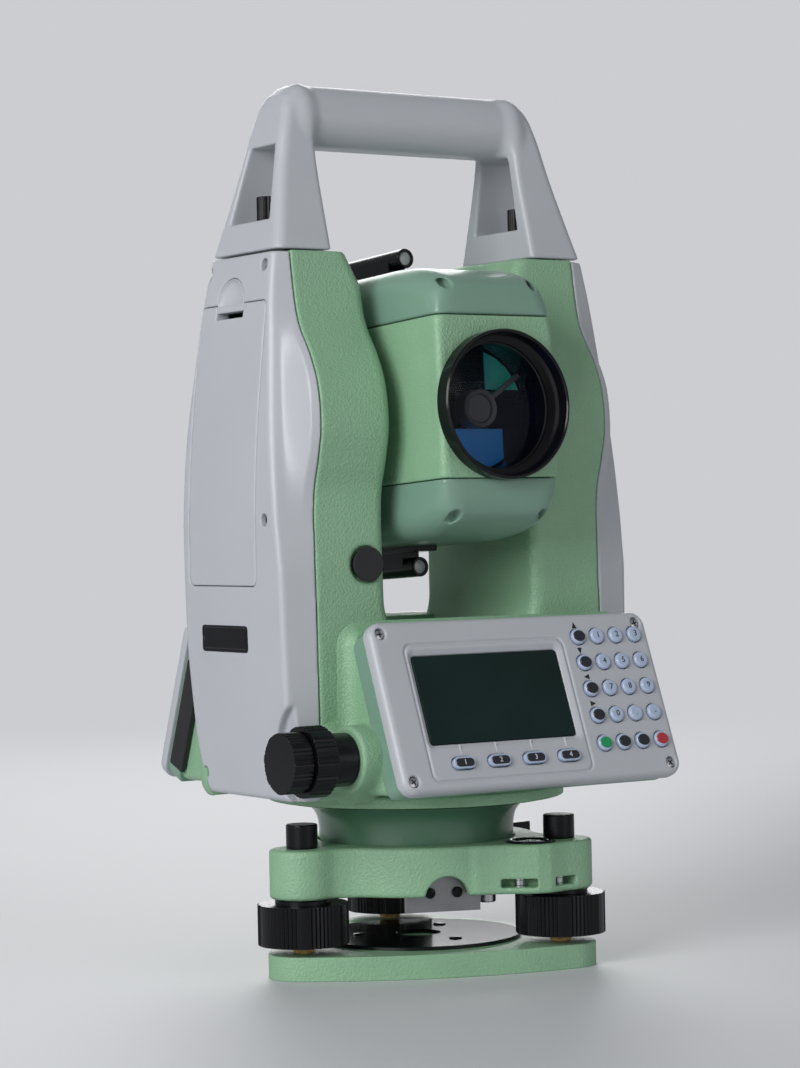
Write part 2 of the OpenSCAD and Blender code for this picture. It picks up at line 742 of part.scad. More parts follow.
module optical_sight(high) {
    translate([0, 0, high]) {
        translate([-2.5, -14, 0]) cube([5, 50, 5]);
        translate([0, 38, 8.6]) rotate([90, 0, 0]) cylinder(r = 4, h = 42);
    }
}

module optical_sights() {
    color(black) in_telescope() for (m = [0, 1]) mirror([0, 0, m]) optical_sight(cover_high[m]);
}

// Two stubs carry the telescope; the right one also carries the vertical circle
module trunnion_stubs() {
    color([0.7, 0.7, 0.72]) translate([0, 0, trunnion_z]) {
        for (sx = [-1, 1]) translate([sx * (stub_in + standard_in + 12) / 2, 0, 0]) rotate([0, 90, 0])
            cylinder(r = trunnion_r, h = standard_in + 12 - stub_in, center = true);
        translate([standard_in + 10.5, 0, 0]) rotate([0, 90, 0]) cylinder(r = 19, h = 1.5);
    }
}

module focus_ring() {
    color(black) in_telescope() translate([0, scope_back + free_gap, 0]) rotate([-90, 0, 0]) difference() {
        linear_extrude(15) polygon(knob_outline(18, 1, 48, 0.5, 0.02));
        translate([0, 0, -over]) cylinder(r = 9 + running, h = 20);
    }
}

module eyepiece() {
    color(black) in_telescope() rotate([-90, 0, 0]) difference() {
        union() {
            translate([0, 0, 22]) cylinder(r = 15, h = scope_back - 26);
            translate([0, 0, 30]) cylinder(r = 9, h = scope_back - 14);
            translate([0, 0, scope_back + 15 + 2 * free_gap]) cylinder(r = 12.5, h = 12);
        }
        translate([0, 0, scope_back + 10]) cylinder(r = 6, h = 30);
    }
}

base_plate();
spring_plate();
tribrach_body();
footscrew(0);  // footscrew_a
footscrew(1);  // footscrew_b
footscrew(2);  // footscrew_c
footscrew_caps();
lock_knob();
circular_vial();
centring_base();
yoke();
left_cover();
right_cover();
battery();
battery_latch();
handle();
handle_screw(-1);  // handle_screw_left
handle_screw(1);  // handle_screw_right
display_housings();
display_bezels();
lcd_windows();
rear_keypad();
case_screws();
port_covers();
horizontal_clamp_ring();
horizontal_tangent_knob();
vertical_clamp_ring();
vertical_tangent_knob();
telescope_body();
telescope_covers();
objective_ring();
objective_lens();
optical_sights();
trunnion_stubs();
focus_ring();
eyepiece();
for (i = [0 : 3]) key(5, i);
for (row = [0 : 4], column = [0 : 3])
    key(row, column);
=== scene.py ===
"""Looks of the surveying total station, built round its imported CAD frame.

Shells that are sculpted on the real instrument are made here as distance fields in millimetres and
meshed; crisp turned and moulded parts are the CAD nodes themselves, with bevels and materials.
"""
import json
import math

import bpy
import numpy as np
from mathutils import Matrix, Vector


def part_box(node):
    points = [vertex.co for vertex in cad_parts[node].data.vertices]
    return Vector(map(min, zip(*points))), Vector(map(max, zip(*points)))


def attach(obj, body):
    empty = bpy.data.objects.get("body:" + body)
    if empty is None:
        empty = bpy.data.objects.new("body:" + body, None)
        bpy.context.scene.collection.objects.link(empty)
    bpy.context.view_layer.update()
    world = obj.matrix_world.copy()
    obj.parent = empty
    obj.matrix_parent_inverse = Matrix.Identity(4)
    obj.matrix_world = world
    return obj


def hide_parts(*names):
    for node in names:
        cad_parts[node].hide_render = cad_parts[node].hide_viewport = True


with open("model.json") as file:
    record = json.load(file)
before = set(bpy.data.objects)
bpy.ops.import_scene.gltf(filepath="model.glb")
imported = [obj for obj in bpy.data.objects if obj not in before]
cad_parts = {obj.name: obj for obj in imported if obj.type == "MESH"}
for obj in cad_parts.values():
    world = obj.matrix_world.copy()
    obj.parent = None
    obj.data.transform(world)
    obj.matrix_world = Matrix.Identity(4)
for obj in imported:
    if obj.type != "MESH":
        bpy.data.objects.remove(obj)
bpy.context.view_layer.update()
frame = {"nodes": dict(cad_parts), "record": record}
MM = 0.001
NODES = frame["nodes"]


def box_mm(node):
    """Lowest and highest corner of a node, in millimetres."""
    low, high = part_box(node)
    return np.array(low) / MM, np.array(high) / MM


def joint_mm(name):
    """A point on a joint's axis, in millimetres, and the axis itself."""
    joint = next(j for j in frame["record"]["behaviour"]["joints"] if j["name"] == name)
    return np.array(joint.get("pos_m", (0, 0, 0))) / MM, np.array(joint["axis"])


# ---------------------------------------------------------------- places, from the frame

TRUNNION = joint_mm("telescope_tilt")[0][2]
YOKE_LOW, YOKE_HIGH = box_mm("yoke")
TOP = YOKE_HIGH[2]                          # where the handle stands
FLANGE = YOKE_LOW[2]
BODY_LOW, BODY_HIGH = box_mm("tribrach_body")
BASE_HIGH = box_mm("base_plate")[1]
HANDLE_HIGH = box_mm("handle")[1]
FEET = [joint_mm(f"footscrew_{c}_turn")[0][:2] for c in "abc"]
CLAMP = joint_mm("horizontal_clamp_turn")[0]
VERTICAL = joint_mm("vertical_clamp_turn")[0]
SIGHT_BACK = joint_mm("focus_turn")[1]      # direction from the objective to the eyepiece
PITCH = math.degrees(math.atan2(-SIGHT_BACK[2], SIGHT_BACK[1]))
KEY_IN = joint_mm("key_f1_press")[1]        # direction in which a key is pressed
TILT = math.atan2(-KEY_IN[2], KEY_IN[1])
COVER_BOTTOM = box_mm("left_cover")[0][2]
SEAM_X = YOKE_HIGH[0]                       # where the covers meet the yoke


# ---------------------------------------------------------------- materials

def add(m, kind, **inputs):
    """A shader node of a material or world, with some of its inputs set."""
    node = m.node_tree.nodes.new("ShaderNode" + kind)
    for name, value in inputs.items():
        node.inputs[name.replace("_", " ")].default_value = value
    return node


def join(m, *links):
    """Links nodes; each link is (node, output, node, input)."""
    for source, out, target, into in links:
        m.node_tree.links.new(source.outputs[out], target.inputs[into])


def ramp_of(m, first, last, start=0.0, end=1.0):
    """A colour ramp between two colours."""
    ramp = add(m, "ValToRGB")
    for element, colour, position in zip(ramp.color_ramp.elements, (first, last), (start, end)):
        element.color, element.position = (*colour, 1), position
    return ramp


def adjusted(m, **inputs):
    """Sets some of a finish's own sockets."""
    for name, value in inputs.items():
        m.node_tree.nodes["Principled BSDF"].inputs[name.replace("_", " ")].default_value = value
    return m


def material(name, colour, rough=0.5, metal=0.0, coat=0.0, spec=0.5, grain=None, cells=None, tint=0.0,
        tint_scale=40.0, rough_spread=0.0):
    """A procedural finish. grain and cells are each (features per metre, height in metres)."""
    m = bpy.data.materials.new(name)
    m.use_nodes = True
    adjusted(m, Base_Color=(*colour, 1), Roughness=rough, Metallic=metal, Coat_Weight=coat,
        Coat_Roughness=0.12, Specular_IOR_Level=spec)
    shader, place = m.node_tree.nodes["Principled BSDF"], add(m, "TexCoord")
    if tint:
        noise = add(m, "TexNoise", Scale=tint_scale, Detail=6)
        ramp = ramp_of(m, [c * (1 - tint) for c in colour], [min(1, c * (1 + tint)) for c in colour], 0.3,
            0.7)
        join(m, (place, "Object", noise, "Vector"), (noise, "Fac", ramp, "Fac"),
            (ramp, "Color", shader, "Base Color"))
        if rough_spread:
            spread = add(m, "MapRange", To_Min=rough - rough_spread, To_Max=rough + rough_spread)
            join(m, (noise, "Fac", spread, "Value"), (spread, "Result", shader, "Roughness"))
    last = None
    for kind, out, relief in (("TexVoronoi", "Distance", cells), ("TexNoise", "Fac", grain)):
        if relief is None:
            continue
        texture = add(m, kind, Scale=relief[0])
        if kind == "TexVoronoi":
            texture.feature = "SMOOTH_F1"
            texture.inputs["Smoothness"].default_value = 0.6
        else:
            texture.inputs["Detail"].default_value = 3
        bump = add(m, "Bump", Strength=1.0, Distance=relief[1])
        join(m, (place, "Object", texture, "Vector"), (texture, out, bump, "Height"))
        if last:
            join(m, (last, "Normal", bump, "Normal"))
        last = bump
    if last:
        join(m, (last, "Normal", shader, "Normal"))
    return m


GREEN = (0.255, 0.450, 0.280)
TEXTURED = material("textured_green_paint", GREEN, rough=0.42, spec=0.55, tint=0.05, tint_scale=30,
    cells=(1150, 0.00022), grain=(2200, 0.00011))
SMOOTH = material("smooth_green_paint", (0.190, 0.325, 0.250), rough=0.36, coat=0.15, tint=0.03,
    grain=(260, 0.00003))
NECK = material("neck_green_paint", (0.085, 0.195, 0.120), rough=0.30, coat=0.3, tint=0.04,
    grain=(200, 0.00004))
WHITE = material("white_moulding", (0.480, 0.500, 0.530), rough=0.36, spec=0.5, tint=0.02, tint_scale=25,
    grain=(2400, 0.00003), rough_spread=0.04)
BLACK = material("black_moulding", (0.003, 0.003, 0.005), rough=0.24, spec=0.28, tint=0.2, tint_scale=120,
    grain=(1500, 0.00004))
BLACK_GLOSS = material("black_gloss", (0.004, 0.004, 0.006), rough=0.10, spec=0.4, coat=0.2, tint=0.2,
    grain=(150, 0.00001))
BLACK_METAL = material("black_anodised", (0.003, 0.003, 0.005), rough=0.20, spec=0.25, tint=0.2,
    grain=(900, 0.00002))
RUBBER = material("black_rubber", (0.015, 0.015, 0.016), rough=0.62, tint=0.15, grain=(1300, 0.00006))
BARREL = material("barrel_grey", (0.050, 0.050, 0.060), rough=0.32, spec=0.5, tint=0.15, tint_scale=200,
    grain=(1800, 0.00002))
STEEL = material("turned_steel", (0.55, 0.55, 0.57), rough=0.26, metal=1.0, tint=0.06, tint_scale=300,
    grain=(2500, 0.00002))
DARK_STEEL = material("blackened_steel", (0.28, 0.28, 0.29), rough=0.36, metal=0.9, tint=0.15,
    grain=(900, 0.00003))
SCREEN = material("liquid_crystal_window", (0.010, 0.023, 0.021), rough=0.22, spec=0.12, tint=0.12,
    grain=(60, 0.00001))
KEY_BLUE = material("pale_blue_key", (0.42, 0.50, 0.66), rough=0.25, coat=0.4, tint=0.03,
    grain=(1200, 0.00002))
KEY_BLACK = material("black_key", (0.014, 0.014, 0.020), rough=0.28, coat=0.3, tint=0.1,
    grain=(1200, 0.00002))
KEY_GREEN = material("green_key", (0.010, 0.300, 0.105), rough=0.28, coat=0.3, tint=0.06,
    grain=(1200, 0.00002))
KEY_RED = material("red_key", (0.480, 0.030, 0.045), rough=0.28, coat=0.3, tint=0.06,
    grain=(1200, 0.00002))
INK = material("black_print", (0.010, 0.010, 0.012), rough=0.5, tint=0.1)
INK_PALE = material("pale_print", (0.62, 0.65, 0.70), rough=0.5, tint=0.05)


def graded(m, axis, start, end, first, last):
    """Runs a finish's colour from first to last between two places along an axis, in metres."""
    place, split, ramp = add(m, "TexCoord"), add(m, "SeparateXYZ"), ramp_of(m, first, last)
    spread = add(m, "MapRange", From_Min=start, From_Max=end)
    join(m, (place, "Object", split, "Vector"), (split, axis, spread, "Value"),
        (spread, "Result", ramp, "Fac"), (ramp, "Color", m.node_tree.nodes["Principled BSDF"],
        "Base Color"))
    return m


LENS = adjusted(material("coated_lens", (0.004, 0.006, 0.022), rough=0.03, spec=0.45, tint=0.1,
    grain=(30, 0.00001)), Alpha=0.13)
VIAL_GLASS = adjusted(material("vial_glass", (0.30, 0.42, 0.22), rough=0.05, spec=0.7, tint=0.05),
    Alpha=0.35)
VIAL_LIQUID = material("vial_liquid", (0.10, 0.16, 0.07), rough=0.15, coat=0.5, tint=0.1)
SIGHT_GLASS = material("frosted_glass", (0.30, 0.32, 0.33), rough=0.22, coat=0.6, tint=0.12, tint_scale=500)
# Teal and blue coatings behind the lens: their hue is their own, but the run of colour along X is a painted
# reflection and the faint emission is a painted glow
TEAL_GLOW = adjusted(graded(material("teal_coating_painted_glow", (0.0, 0.1, 0.1), rough=0.45), "X", 0.006, 0.023,
    (0.005, 0.090, 0.150), (0.010, 0.300, 0.160)), Emission_Color=(0.002, 0.16, 0.13, 1),
    Emission_Strength=0.30)
BLUE_GLOW = adjusted(graded(material("blue_coating_painted_glow", (0.0, 0.1, 0.3), rough=0.45), "X", -0.020, 0.014,
    (0.008, 0.180, 0.520), (0.006, 0.100, 0.240)), Emission_Color=(0.001, 0.09, 0.30, 1),
    Emission_Strength=0.30)

SLOTS = {"textured_green": TEXTURED, "smooth_green": SMOOTH, "dark_green": NECK, "white_plastic": WHITE,
    "black_plastic": BLACK, "black_metal": BLACK_METAL, "steel": STEEL, "lens_glass": LENS,
    "screen_glass": SCREEN, "vial_black": BLACK_GLOSS, "key_blue": KEY_BLUE, "key_black": KEY_BLACK,
    "key_green": KEY_GREEN, "key_red": KEY_RED, "rubber": RUBBER}


# ---------------------------------------------------------------- distance fields, in millimetres

def field_grid(low, high, step):
    """Open coordinate arrays that broadcast to a grid over the box."""
    axes = [np.arange(a, b + step, step, dtype=np.float32) for a, b in zip(low, high)]
    return axes[0][:, None, None], axes[1][None, :, None], axes[2][None, None, :]


def both(a, b, r=0.0):
    """Where two fields meet, with the edge rounded to radius r."""
    if r <= 0:
        return np.maximum(a, b)
    return np.minimum(np.maximum(a, b), -r) + np.sqrt(np.maximum(a + r, 0) ** 2 + np.maximum(b + r, 0) ** 2)


def either(a, b, r=0.0):
    """Two fields joined, with the corner between them filled to radius r."""
    if r <= 0:
        return np.minimum(a, b)
    return np.maximum(np.minimum(a, b), r) - np.sqrt(np.maximum(r - a, 0) ** 2 + np.maximum(r - b, 0) ** 2)


def cut(a, b, r=0.0):
    """Field a with field b taken out."""
    return both(a, -b, r)


def polygon_field(u, v, points):
    """Signed distance to a closed polygon in the plane of u and v."""
    points = np.asarray(points, dtype=np.float32)
    best = None
    inside = None
    for (ax, ay), (bx, by) in zip(points, np.roll(points, 1, axis=0)):
        ex, ey = bx - ax, by - ay
        px, py = u - ax, v - ay
        t = np.clip((px * ex + py * ey) / (ex * ex + ey * ey + 1e-12), 0, 1)
        d = (px - ex * t) ** 2 + (py - ey * t) ** 2
        crossing = ((v >= ay) != (v >= by)) & (px < ex * py / (ey if abs(ey) > 1e-9 else 1e-9))
        best = d if best is None else np.minimum(best, d)
        inside = crossing if inside is None else inside ^ crossing
    return np.where(inside, -1, 1) * np.sqrt(best)


def box_field(x, y, z, low, high, r=0.0):
    """A box with edges rounded to radius r."""
    mid, half = (np.array(low) + high) / 2, (np.array(high) - low) / 2 - r
    q = [np.abs(c - m) - h for c, m, h in zip((x, y, z), mid, half)]
    outside = np.sqrt(sum(np.maximum(c, 0) ** 2 for c in q))
    return outside + np.minimum(np.maximum(np.maximum(q[0], q[1]), q[2]), 0) - r


def rod_field(a, b, r):
    """An endless cylinder along the axis that neither a nor b runs along."""
    return np.sqrt(a * a + b * b) - r


def smooth_line(points, steps=6):
    """Points along a soft curve through the given ones."""
    p = np.asarray(points, dtype=float)
    p = np.vstack([2 * p[0] - p[1], p, 2 * p[-1] - p[-2]])
    t = np.linspace(0, 1, steps, endpoint=False)[:, None]
    out = []
    for a, b, c, d in zip(p, p[1:], p[2:], p[3:]):
        out.append(0.5 * (2 * b + (c - a) * t + (2 * a - 5 * b + 4 * c - d) * t ** 2
            + (3 * b - a - 3 * c + d) * t ** 3))
    return np.vstack(out + [p[-2:-1]])


def surface(field, low, step):
    """Vertices and quads of the zero surface of a field on a grid (surface nets)."""
    low = np.asarray(low, dtype=np.float64)
    inside = field < 0
    cells = tuple(n - 1 for n in field.shape)
    corners = [(i, j, k) for i in (0, 1) for j in (0, 1) for k in (0, 1)]

    def at(array, offset, size=cells):
        return array[tuple(slice(o, o + n) for o, n in zip(offset, size))]

    count = sum(at(inside, c).astype(np.int8) for c in corners)
    live = (count > 0) & (count < 8)
    place = np.argwhere(live)
    index = np.full(cells, -1, dtype=np.int64)
    index[live] = np.arange(len(place))
    total = np.zeros((len(place), 3))
    weight = np.zeros(len(place))
    ids = tuple(place.T)
    for axis in range(3):
        for c in corners:
            if c[axis]:
                continue
            d = tuple(v + (1 if n == axis else 0) for n, v in enumerate(c))
            fa, fb = at(field, c)[ids].astype(np.float64), at(field, d)[ids].astype(np.float64)
            crossed = (fa < 0) != (fb < 0)
            t = np.where(crossed, fa / np.where(crossed, fa - fb, 1), 0)
            point = np.array(c, dtype=float)[None, :].repeat(len(place), 0)
            point[:, axis] += t
            total += point * crossed[:, None]
            weight += crossed
    verts = low + (place + total / weight[:, None]) * step
    faces = []
    for axis in range(3):
        b, c = (axis + 1) % 3, (axis + 2) % 3
        size = [n - 2 for n in field.shape]
        size[axis] = field.shape[axis] - 1
        first = [1, 1, 1]
        first[axis] = 0
        nxt = list(first)
        nxt[axis] = 1
        a_in, b_in = at(inside, first, size), at(inside, nxt, size)
        for flip in (False, True):
            where = (a_in & ~b_in) if not flip else (~a_in & b_in)
            cell = np.argwhere(where) + first
            quad = []
            for db, dc in ((0, 0), (-1, 0), (-1, -1), (0, -1)):
                q = cell.copy()
                q[:, b] += db
                q[:, c] += dc
                quad.append(index[tuple(q.T)])
            quad = np.stack(quad, axis=1)
            faces.append(quad[:, ::-1] if flip else quad)
    return verts, np.vstack(faces)


def snapped(verts, field, low, step):
    """Vertices moved on to the zero surface along the field's slope."""
    slopes = np.gradient(field, step)
    for _ in range(2):
        g = (verts - low) / step
        base = np.clip(np.floor(g).astype(int), 0, np.array(field.shape) - 2)
        f = g - base
        value = np.zeros(len(verts))
        slope = np.zeros((len(verts), 3))
        for c in [(i, j, k) for i in (0, 1) for j in (0, 1) for k in (0, 1)]:
            w = np.prod(np.where(np.array(c), f, 1 - f), axis=1)
            ids = tuple((base + c).T)
            value += w * field[ids]
            for axis in range(3):
                slope[:, axis] += w * slopes[axis][ids]
        length = np.maximum((slope ** 2).sum(1), 0.25)
        move = slope * (value / length)[:, None]
        size = np.linalg.norm(move, axis=1, keepdims=True)
        verts = verts - move * np.minimum(1, 0.4 * step / np.maximum(size, 1e-9))
    return verts


# ---------------------------------------------------------------- making pieces

def mesh_object(name, verts, faces, *finishes, sharp=None):
    mesh = bpy.data.meshes.new(name)
    mesh.from_pydata([tuple(v) for v in np.asarray(verts) * MM], [],
        [tuple(int(i) for i in f) for f in faces])
    mesh.update()
    for finish in finishes:
        mesh.materials.append(finish)
    mesh.polygons.foreach_set("use_smooth", [True] * len(mesh.polygons))
    if sharp:
        mesh.set_sharp_from_angle(angle=math.radians(sharp))
    piece = bpy.data.objects.new(name, mesh)
    bpy.context.collection.objects.link(piece)
    return piece


def belongs(piece, body, slot, *replaced):
    """Puts a piece on its body and hides the CAD nodes that it stands for; the slot is not used."""
    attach(piece, body)
    if replaced:
        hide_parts(*replaced)
    return piece


def sculpt(name, field_of, low, high, step, slot, body, *replaced, turn=None):
    """A shell meshed from a distance field; turn is a matrix that takes the field's frame to the row's."""
    low, high = np.array(low, float) - 2.5 * step, np.array(high, float) + 2.5 * step
    x, y, z = field_grid(low, high, step)
    field = np.broadcast_to(field_of(x, y, z), (x.size, y.size, z.size)).astype(np.float32)
    verts, quads = surface(field, low, step)
    verts = snapped(verts, field, low, step)
    if turn is not None:
        verts = verts @ np.array(turn.to_3x3()).T + np.array(turn.translation)
    piece = mesh_object(name, verts, quads, SLOTS[slot])
    return belongs(piece, body, slot, *replaced)


def axis_matrix(origin, direction):
    """A matrix whose +Z runs along direction, at origin, in millimetres."""
    turn = Vector(direction).to_track_quat("Z", "Y").to_matrix().to_4x4()
    turn.translation = Vector(origin)
    return turn


def finish_node(node, finish, bevel=0.0, segments=3, angle=28):
    """Keeps a CAD node, with its edges softened and a finish on it."""
    piece = NODES[node]
    piece.data.materials.clear()
    piece.data.materials.append(finish)
    piece.data.polygons.foreach_set("material_index", [0] * len(piece.data.polygons))
    weld = piece.modifiers.new("weld", "WELD")
    weld.merge_threshold = 0.000002
    if bevel:
        flat = piece.modifiers.new("flat", "DECIMATE")
        flat.decimate_type = "DISSOLVE"
        flat.angle_limit = math.radians(0.6)
        soft = piece.modifiers.new("soft_edges", "BEVEL")
        soft.width = bevel * MM
        soft.segments = segments
        soft.limit_method = "ANGLE"
        soft.angle_limit = math.radians(angle)
        soft.harden_normals = True
        weighted = piece.modifiers.new("normals", "WEIGHTED_NORMAL")
        weighted.keep_sharp = True


def ring_mesh(profile, steps=72):
    """A turned shape, from (radius, height) points."""
    verts, faces, rings = [], [], []
    for r, h in profile:
        count = 1 if r < 1e-6 else steps
        rings.append(list(range(len(verts), len(verts) + count)))
        verts += [(r * math.cos(a), r * math.sin(a), h) for a in (2 * math.pi * i / steps
            for i in range(count))]
    for low, high in zip(rings, rings[1:]):
        for i in range(steps):
            j = (i + 1) % steps
            quad = [low[i % len(low)], low[j % len(low)], high[j % len(high)], high[i % len(high)]]
            face = list(dict.fromkeys(quad))
            if len(face) > 2:
                faces.append(face)
    return np.array(verts), faces


def prism_mesh(outline, low, high, chamfer=0.0):
    """An outline run from one height to another, its upper edge drawn in by the chamfer."""
    outline = np.array(outline, dtype=float)
    n = len(outline)
    mid = outline.mean(0)
    away = outline - mid
    inner = mid + away * (1 - chamfer / np.linalg.norm(away, axis=1, keepdims=True))
    levels = [(outline, low), (outline, high - chamfer), (inner, high)] if chamfer else [(outline, low),
        (outline, high)]
    verts = np.vstack([np.column_stack([ring, np.full(n, h)]) for ring, h in levels])
    faces = [list(range(n))[::-1], list(range(n * (len(levels) - 1), n * len(levels)))]
    for k in range(len(levels) - 1):
        faces += [[k * n + i, k * n + (i + 1) % n, (k + 1) * n + (i + 1) % n,
            (k + 1) * n + i] for i in range(n)]
    return verts, faces


def box_mesh(low, high):
    (a, b, c), (d, e, f) = low, high
    return prism_mesh([(a, b), (d, b), (d, e), (a, e)], c, f)


def pill(width, height, steps=10):
    """Outline of a bar with round ends."""
    r = height / 2
    side = width / 2 - r
    turn = [math.pi * (i / steps - 0.5) for i in range(steps + 1)]
    right = [(side + r * math.cos(a), r * math.sin(a)) for a in turn]
    return right + [(-u, -v) for u, v in right]


def oval(a, b, steps=28):
    turn = [2 * math.pi * i / steps for i in range(steps)]
    return [(a * math.cos(t), b * math.sin(t)) for t in turn]


def assembly(name, parts, body, slot, *replaced, sharp=35):
    """One piece from several closed shapes: parts is a list of ((verts, faces), matrix, finish)."""
    verts, faces, finishes, index = [], [], [], []
    for (points, polygons), matrix, finish in parts:
        if finish not in finishes:
            finishes.append(finish)
        start = sum(len(v) for v in verts)
        verts.append(np.array(points) @ np.array(matrix.to_3x3()).T + np.array(matrix.translation))
        faces += [[i + start for i in polygon] for polygon in polygons]
        index += [finishes.index(finish)] * len(polygons)
    piece = mesh_object(name, np.vstack(verts), faces, *finishes, sharp=sharp)
    piece.data.polygons.foreach_set("material_index", index)
    return belongs(piece, body, slot, *replaced)


PRINT_T = 0.06                              # how far a printed character stands up


def label(name, text, size, matrix, body, slot, finish):
    """A printed character, raised by a hair, centred on the matrix's origin in its XY plane."""
    curve = bpy.data.curves.new(name, "FONT")
    curve.body = text
    curve.size = size * MM
    curve.extrude = PRINT_T * MM
    curve.align_x = "CENTER"
    curve.align_y = "CENTER"
    curve.resolution_u = 3
    source = bpy.data.objects.new(name + "_source", curve)
    bpy.context.collection.objects.link(source)
    mesh = bpy.data.meshes.new_from_object(source.evaluated_get(bpy.context.evaluated_depsgraph_get()))
    bpy.data.objects.remove(source)
    place = matrix.copy()
    place.translation = place.translation * MM
    mesh.transform(place)
    mesh.materials.clear()
    mesh.materials.append(finish)
    piece = bpy.data.objects.new(name, mesh)
    bpy.context.collection.objects.link(piece)
    return belongs(piece, body, slot)


# ---------------------------------------------------------------- shapes of the alidade

SIDE_FRONT = smooth_line([(-38, COVER_BOTTOM), (-37.2, TRUNNION - 90), (-36.4, TRUNNION - 58),
    (-36, TRUNNION - 40), (-37, TRUNNION - 28), (-40, TRUNNION - 18), (-42.8, TRUNNION - 6),
    (-42.6, TRUNNION + 5), (-40.4, TRUNNION + 15), (-35.5, TRUNNION + 25), (-29.4, TRUNNION + 34),
    (-26, TRUNNION + 42), (-23.6, TRUNNION + 54), (-22, TOP)])
SIDE_BACK = smooth_line([(32, COVER_BOTTOM), (38.2, COVER_BOTTOM + 16), (40.4, COVER_BOTTOM + 38),
    (42.6, TRUNNION - 88), (43, TRUNNION - 60), (42.4, TRUNNION - 34), (40.6, TRUNNION - 8),
    (37.4, TRUNNION + 18), (33.4, TRUNNION + 46), (30, TOP)])
COVER_OUT = smooth_line([(79, COVER_BOTTOM), (80.2, COVER_BOTTOM + 16), (81.8, COVER_BOTTOM + 38),
    (82.5, TRUNNION - 80), (83, TRUNNION - 52), (83.1, TRUNNION - 34), (81.8, TRUNNION - 3),
    (77.7, TRUNNION + 42), (74.3, TOP)])


def along(line, z, column=0):
    """A curve's value at each height."""
    return np.interp(z, line[:, 1], line[:, column]).astype(np.float32)


GAP_HALF = 35                               # half the gap between the standards


def yoke_field(x, y, z):
    ax = np.abs(x)
    front = along(SIDE_FRONT, z) - y
    back = y - along(SIDE_BACK, z)
    side = np.maximum(front, back)
    corner, floor = 24.0, TRUNNION - 94.8                            # of the U between the standards
    to_side, to_floor = GAP_HALF - ax, z - floor
    rounded = corner - np.hypot(np.maximum(corner - to_side, 0), np.maximum(corner - to_floor, 0))
    gap = np.minimum(np.minimum(to_side, to_floor), rounded)         # above 0 between the standards
    # Below 0 where the inner top slopes off
    shoulder = (TOP - 12 - z) * 0.42 + (ax - GAP_HALF - 0.5) * 0.91
    gap = np.maximum(gap, -shoulder)
    body = both(side, gap, 5.0)
    body = both(body, ax - SEAM_X, 0.5)
    body = both(body, z - TOP, 0.8)
    body = both(body, COVER_BOTTOM - z, 2.0)
    flange = both(rod_field(x, y, 60), np.maximum(FLANGE - z, z - COVER_BOTTOM - 0.6), 0.8)
    body = either(body, flange, 0.0)
    bay = box_field(ax, y, z, (47, -20, COVER_BOTTOM + 14), (80, 30, TOP - 14), 3)
    body = cut(body, bay)
    plug_x, plug_z = -44.4, TRUNNION - 57.2
    plug = both(rod_field(x - plug_x, z - plug_z, 7.2), y + 34, 0)
    return cut(body, plug, 0.3)


# The seam's line as it would run without its bulge beside the telescope
PLAIN_FRONT = smooth_line([(-38, COVER_BOTTOM), (-37.2, TRUNNION - 90), (-36.4, TRUNNION - 58),
    (-36, TRUNNION - 40), (-33.6, TRUNNION - 4), (-29.4, TRUNNION + 30), (-26, TRUNNION + 42),
    (-23.6, TRUNNION + 54), (-22, TOP)])


def cover_field(side):
    """The outer skin that the left (-1) or right (+1) cover and what lies flush in it share."""
    def field(x, y, z):
        ax = side * x
        out = along(COVER_OUT, z)
        edge = np.interp(z, [COVER_BOTTOM, TRUNNION - 60, TOP], [-36.5, -35.0, -20.0]).astype(np.float32)
        reach = np.clip((ax - SEAM_X) / (out - SEAM_X - 1), 0, 1)
        # A crescent facet falls from the bulging seam to the flat beside the outer edge
        fall = np.clip((reach - 0.30) / 0.44, 0, 1)
        bulge = np.maximum(along(PLAIN_FRONT, z) - along(SIDE_FRONT, z), 0) * (1 - fall) ** 1.5
        front = along(PLAIN_FRONT, z) * (1 - reach) + edge * reach - bulge - y
        back = y - along(SIDE_BACK, z)
        body = both(ax - out, front * 0.88, 2.2)
        return both(body, back, 5.0)
    return field


DOOR_LOW, DOOR_HIGH = box_mm("battery")
DOOR = [(-19.5, DOOR_HIGH[2]), (31, DOOR_HIGH[2]), (36, DOOR_LOW[2]), (-16.5, DOOR_LOW[2])]
LATCH_LOW, LATCH_HIGH = box_mm("battery_latch")
LATCH_Y = (LATCH_LOW[1] + LATCH_HIGH[1]) / 2
LATCH_R = (LATCH_HIGH[1] - LATCH_LOW[1]) / 2
SCREWS = [(27.6, TOP - 6.5), (-14.5, TOP - 5.5), (-24.1, TRUNNION - 39.3), (31.5, COVER_BOTTOM + 8.1)]


def shell_field(side, x, y, z):
    body = cover_field(side)(x, y, z)
    body = both(body, SEAM_X + 0.35 - side * x, 0.5)
    body = both(body, z - (TOP - 0.5), 1.0)
    body = both(body, COVER_BOTTOM - z, 2.5)
    inner = cover_field(side)(x, y, z) + 3.0
    room = np.maximum(np.maximum(-22 - y, y - 39), np.maximum(DOOR_LOW[2] - 4 - z, z - TOP + 6))
    return cut(body, np.maximum(inner, room))


def door_outline(y, z):
    """The battery door's outline, with rounded corners."""
    corners = np.array(DOOR) - (6.75, 0)
    shrunk = corners * ((24.5 - 3) / 24.5, 1) + (6.75, 0)
    shrunk[:2, 1] -= 3
    shrunk[2:, 1] += 3
    return polygon_field(y, z, shrunk) - 3


def latch_outline(y, z):
    dome = np.maximum(rod_field(y - LATCH_Y, z - DOOR_HIGH[2], LATCH_R), DOOR_HIGH[2] - z - 0.01)
    tab = np.maximum(np.abs(y - LATCH_Y) - LATCH_R, np.maximum(z - DOOR_HIGH[2], LATCH_LOW[2] - z))
    return np.minimum(dome, tab)


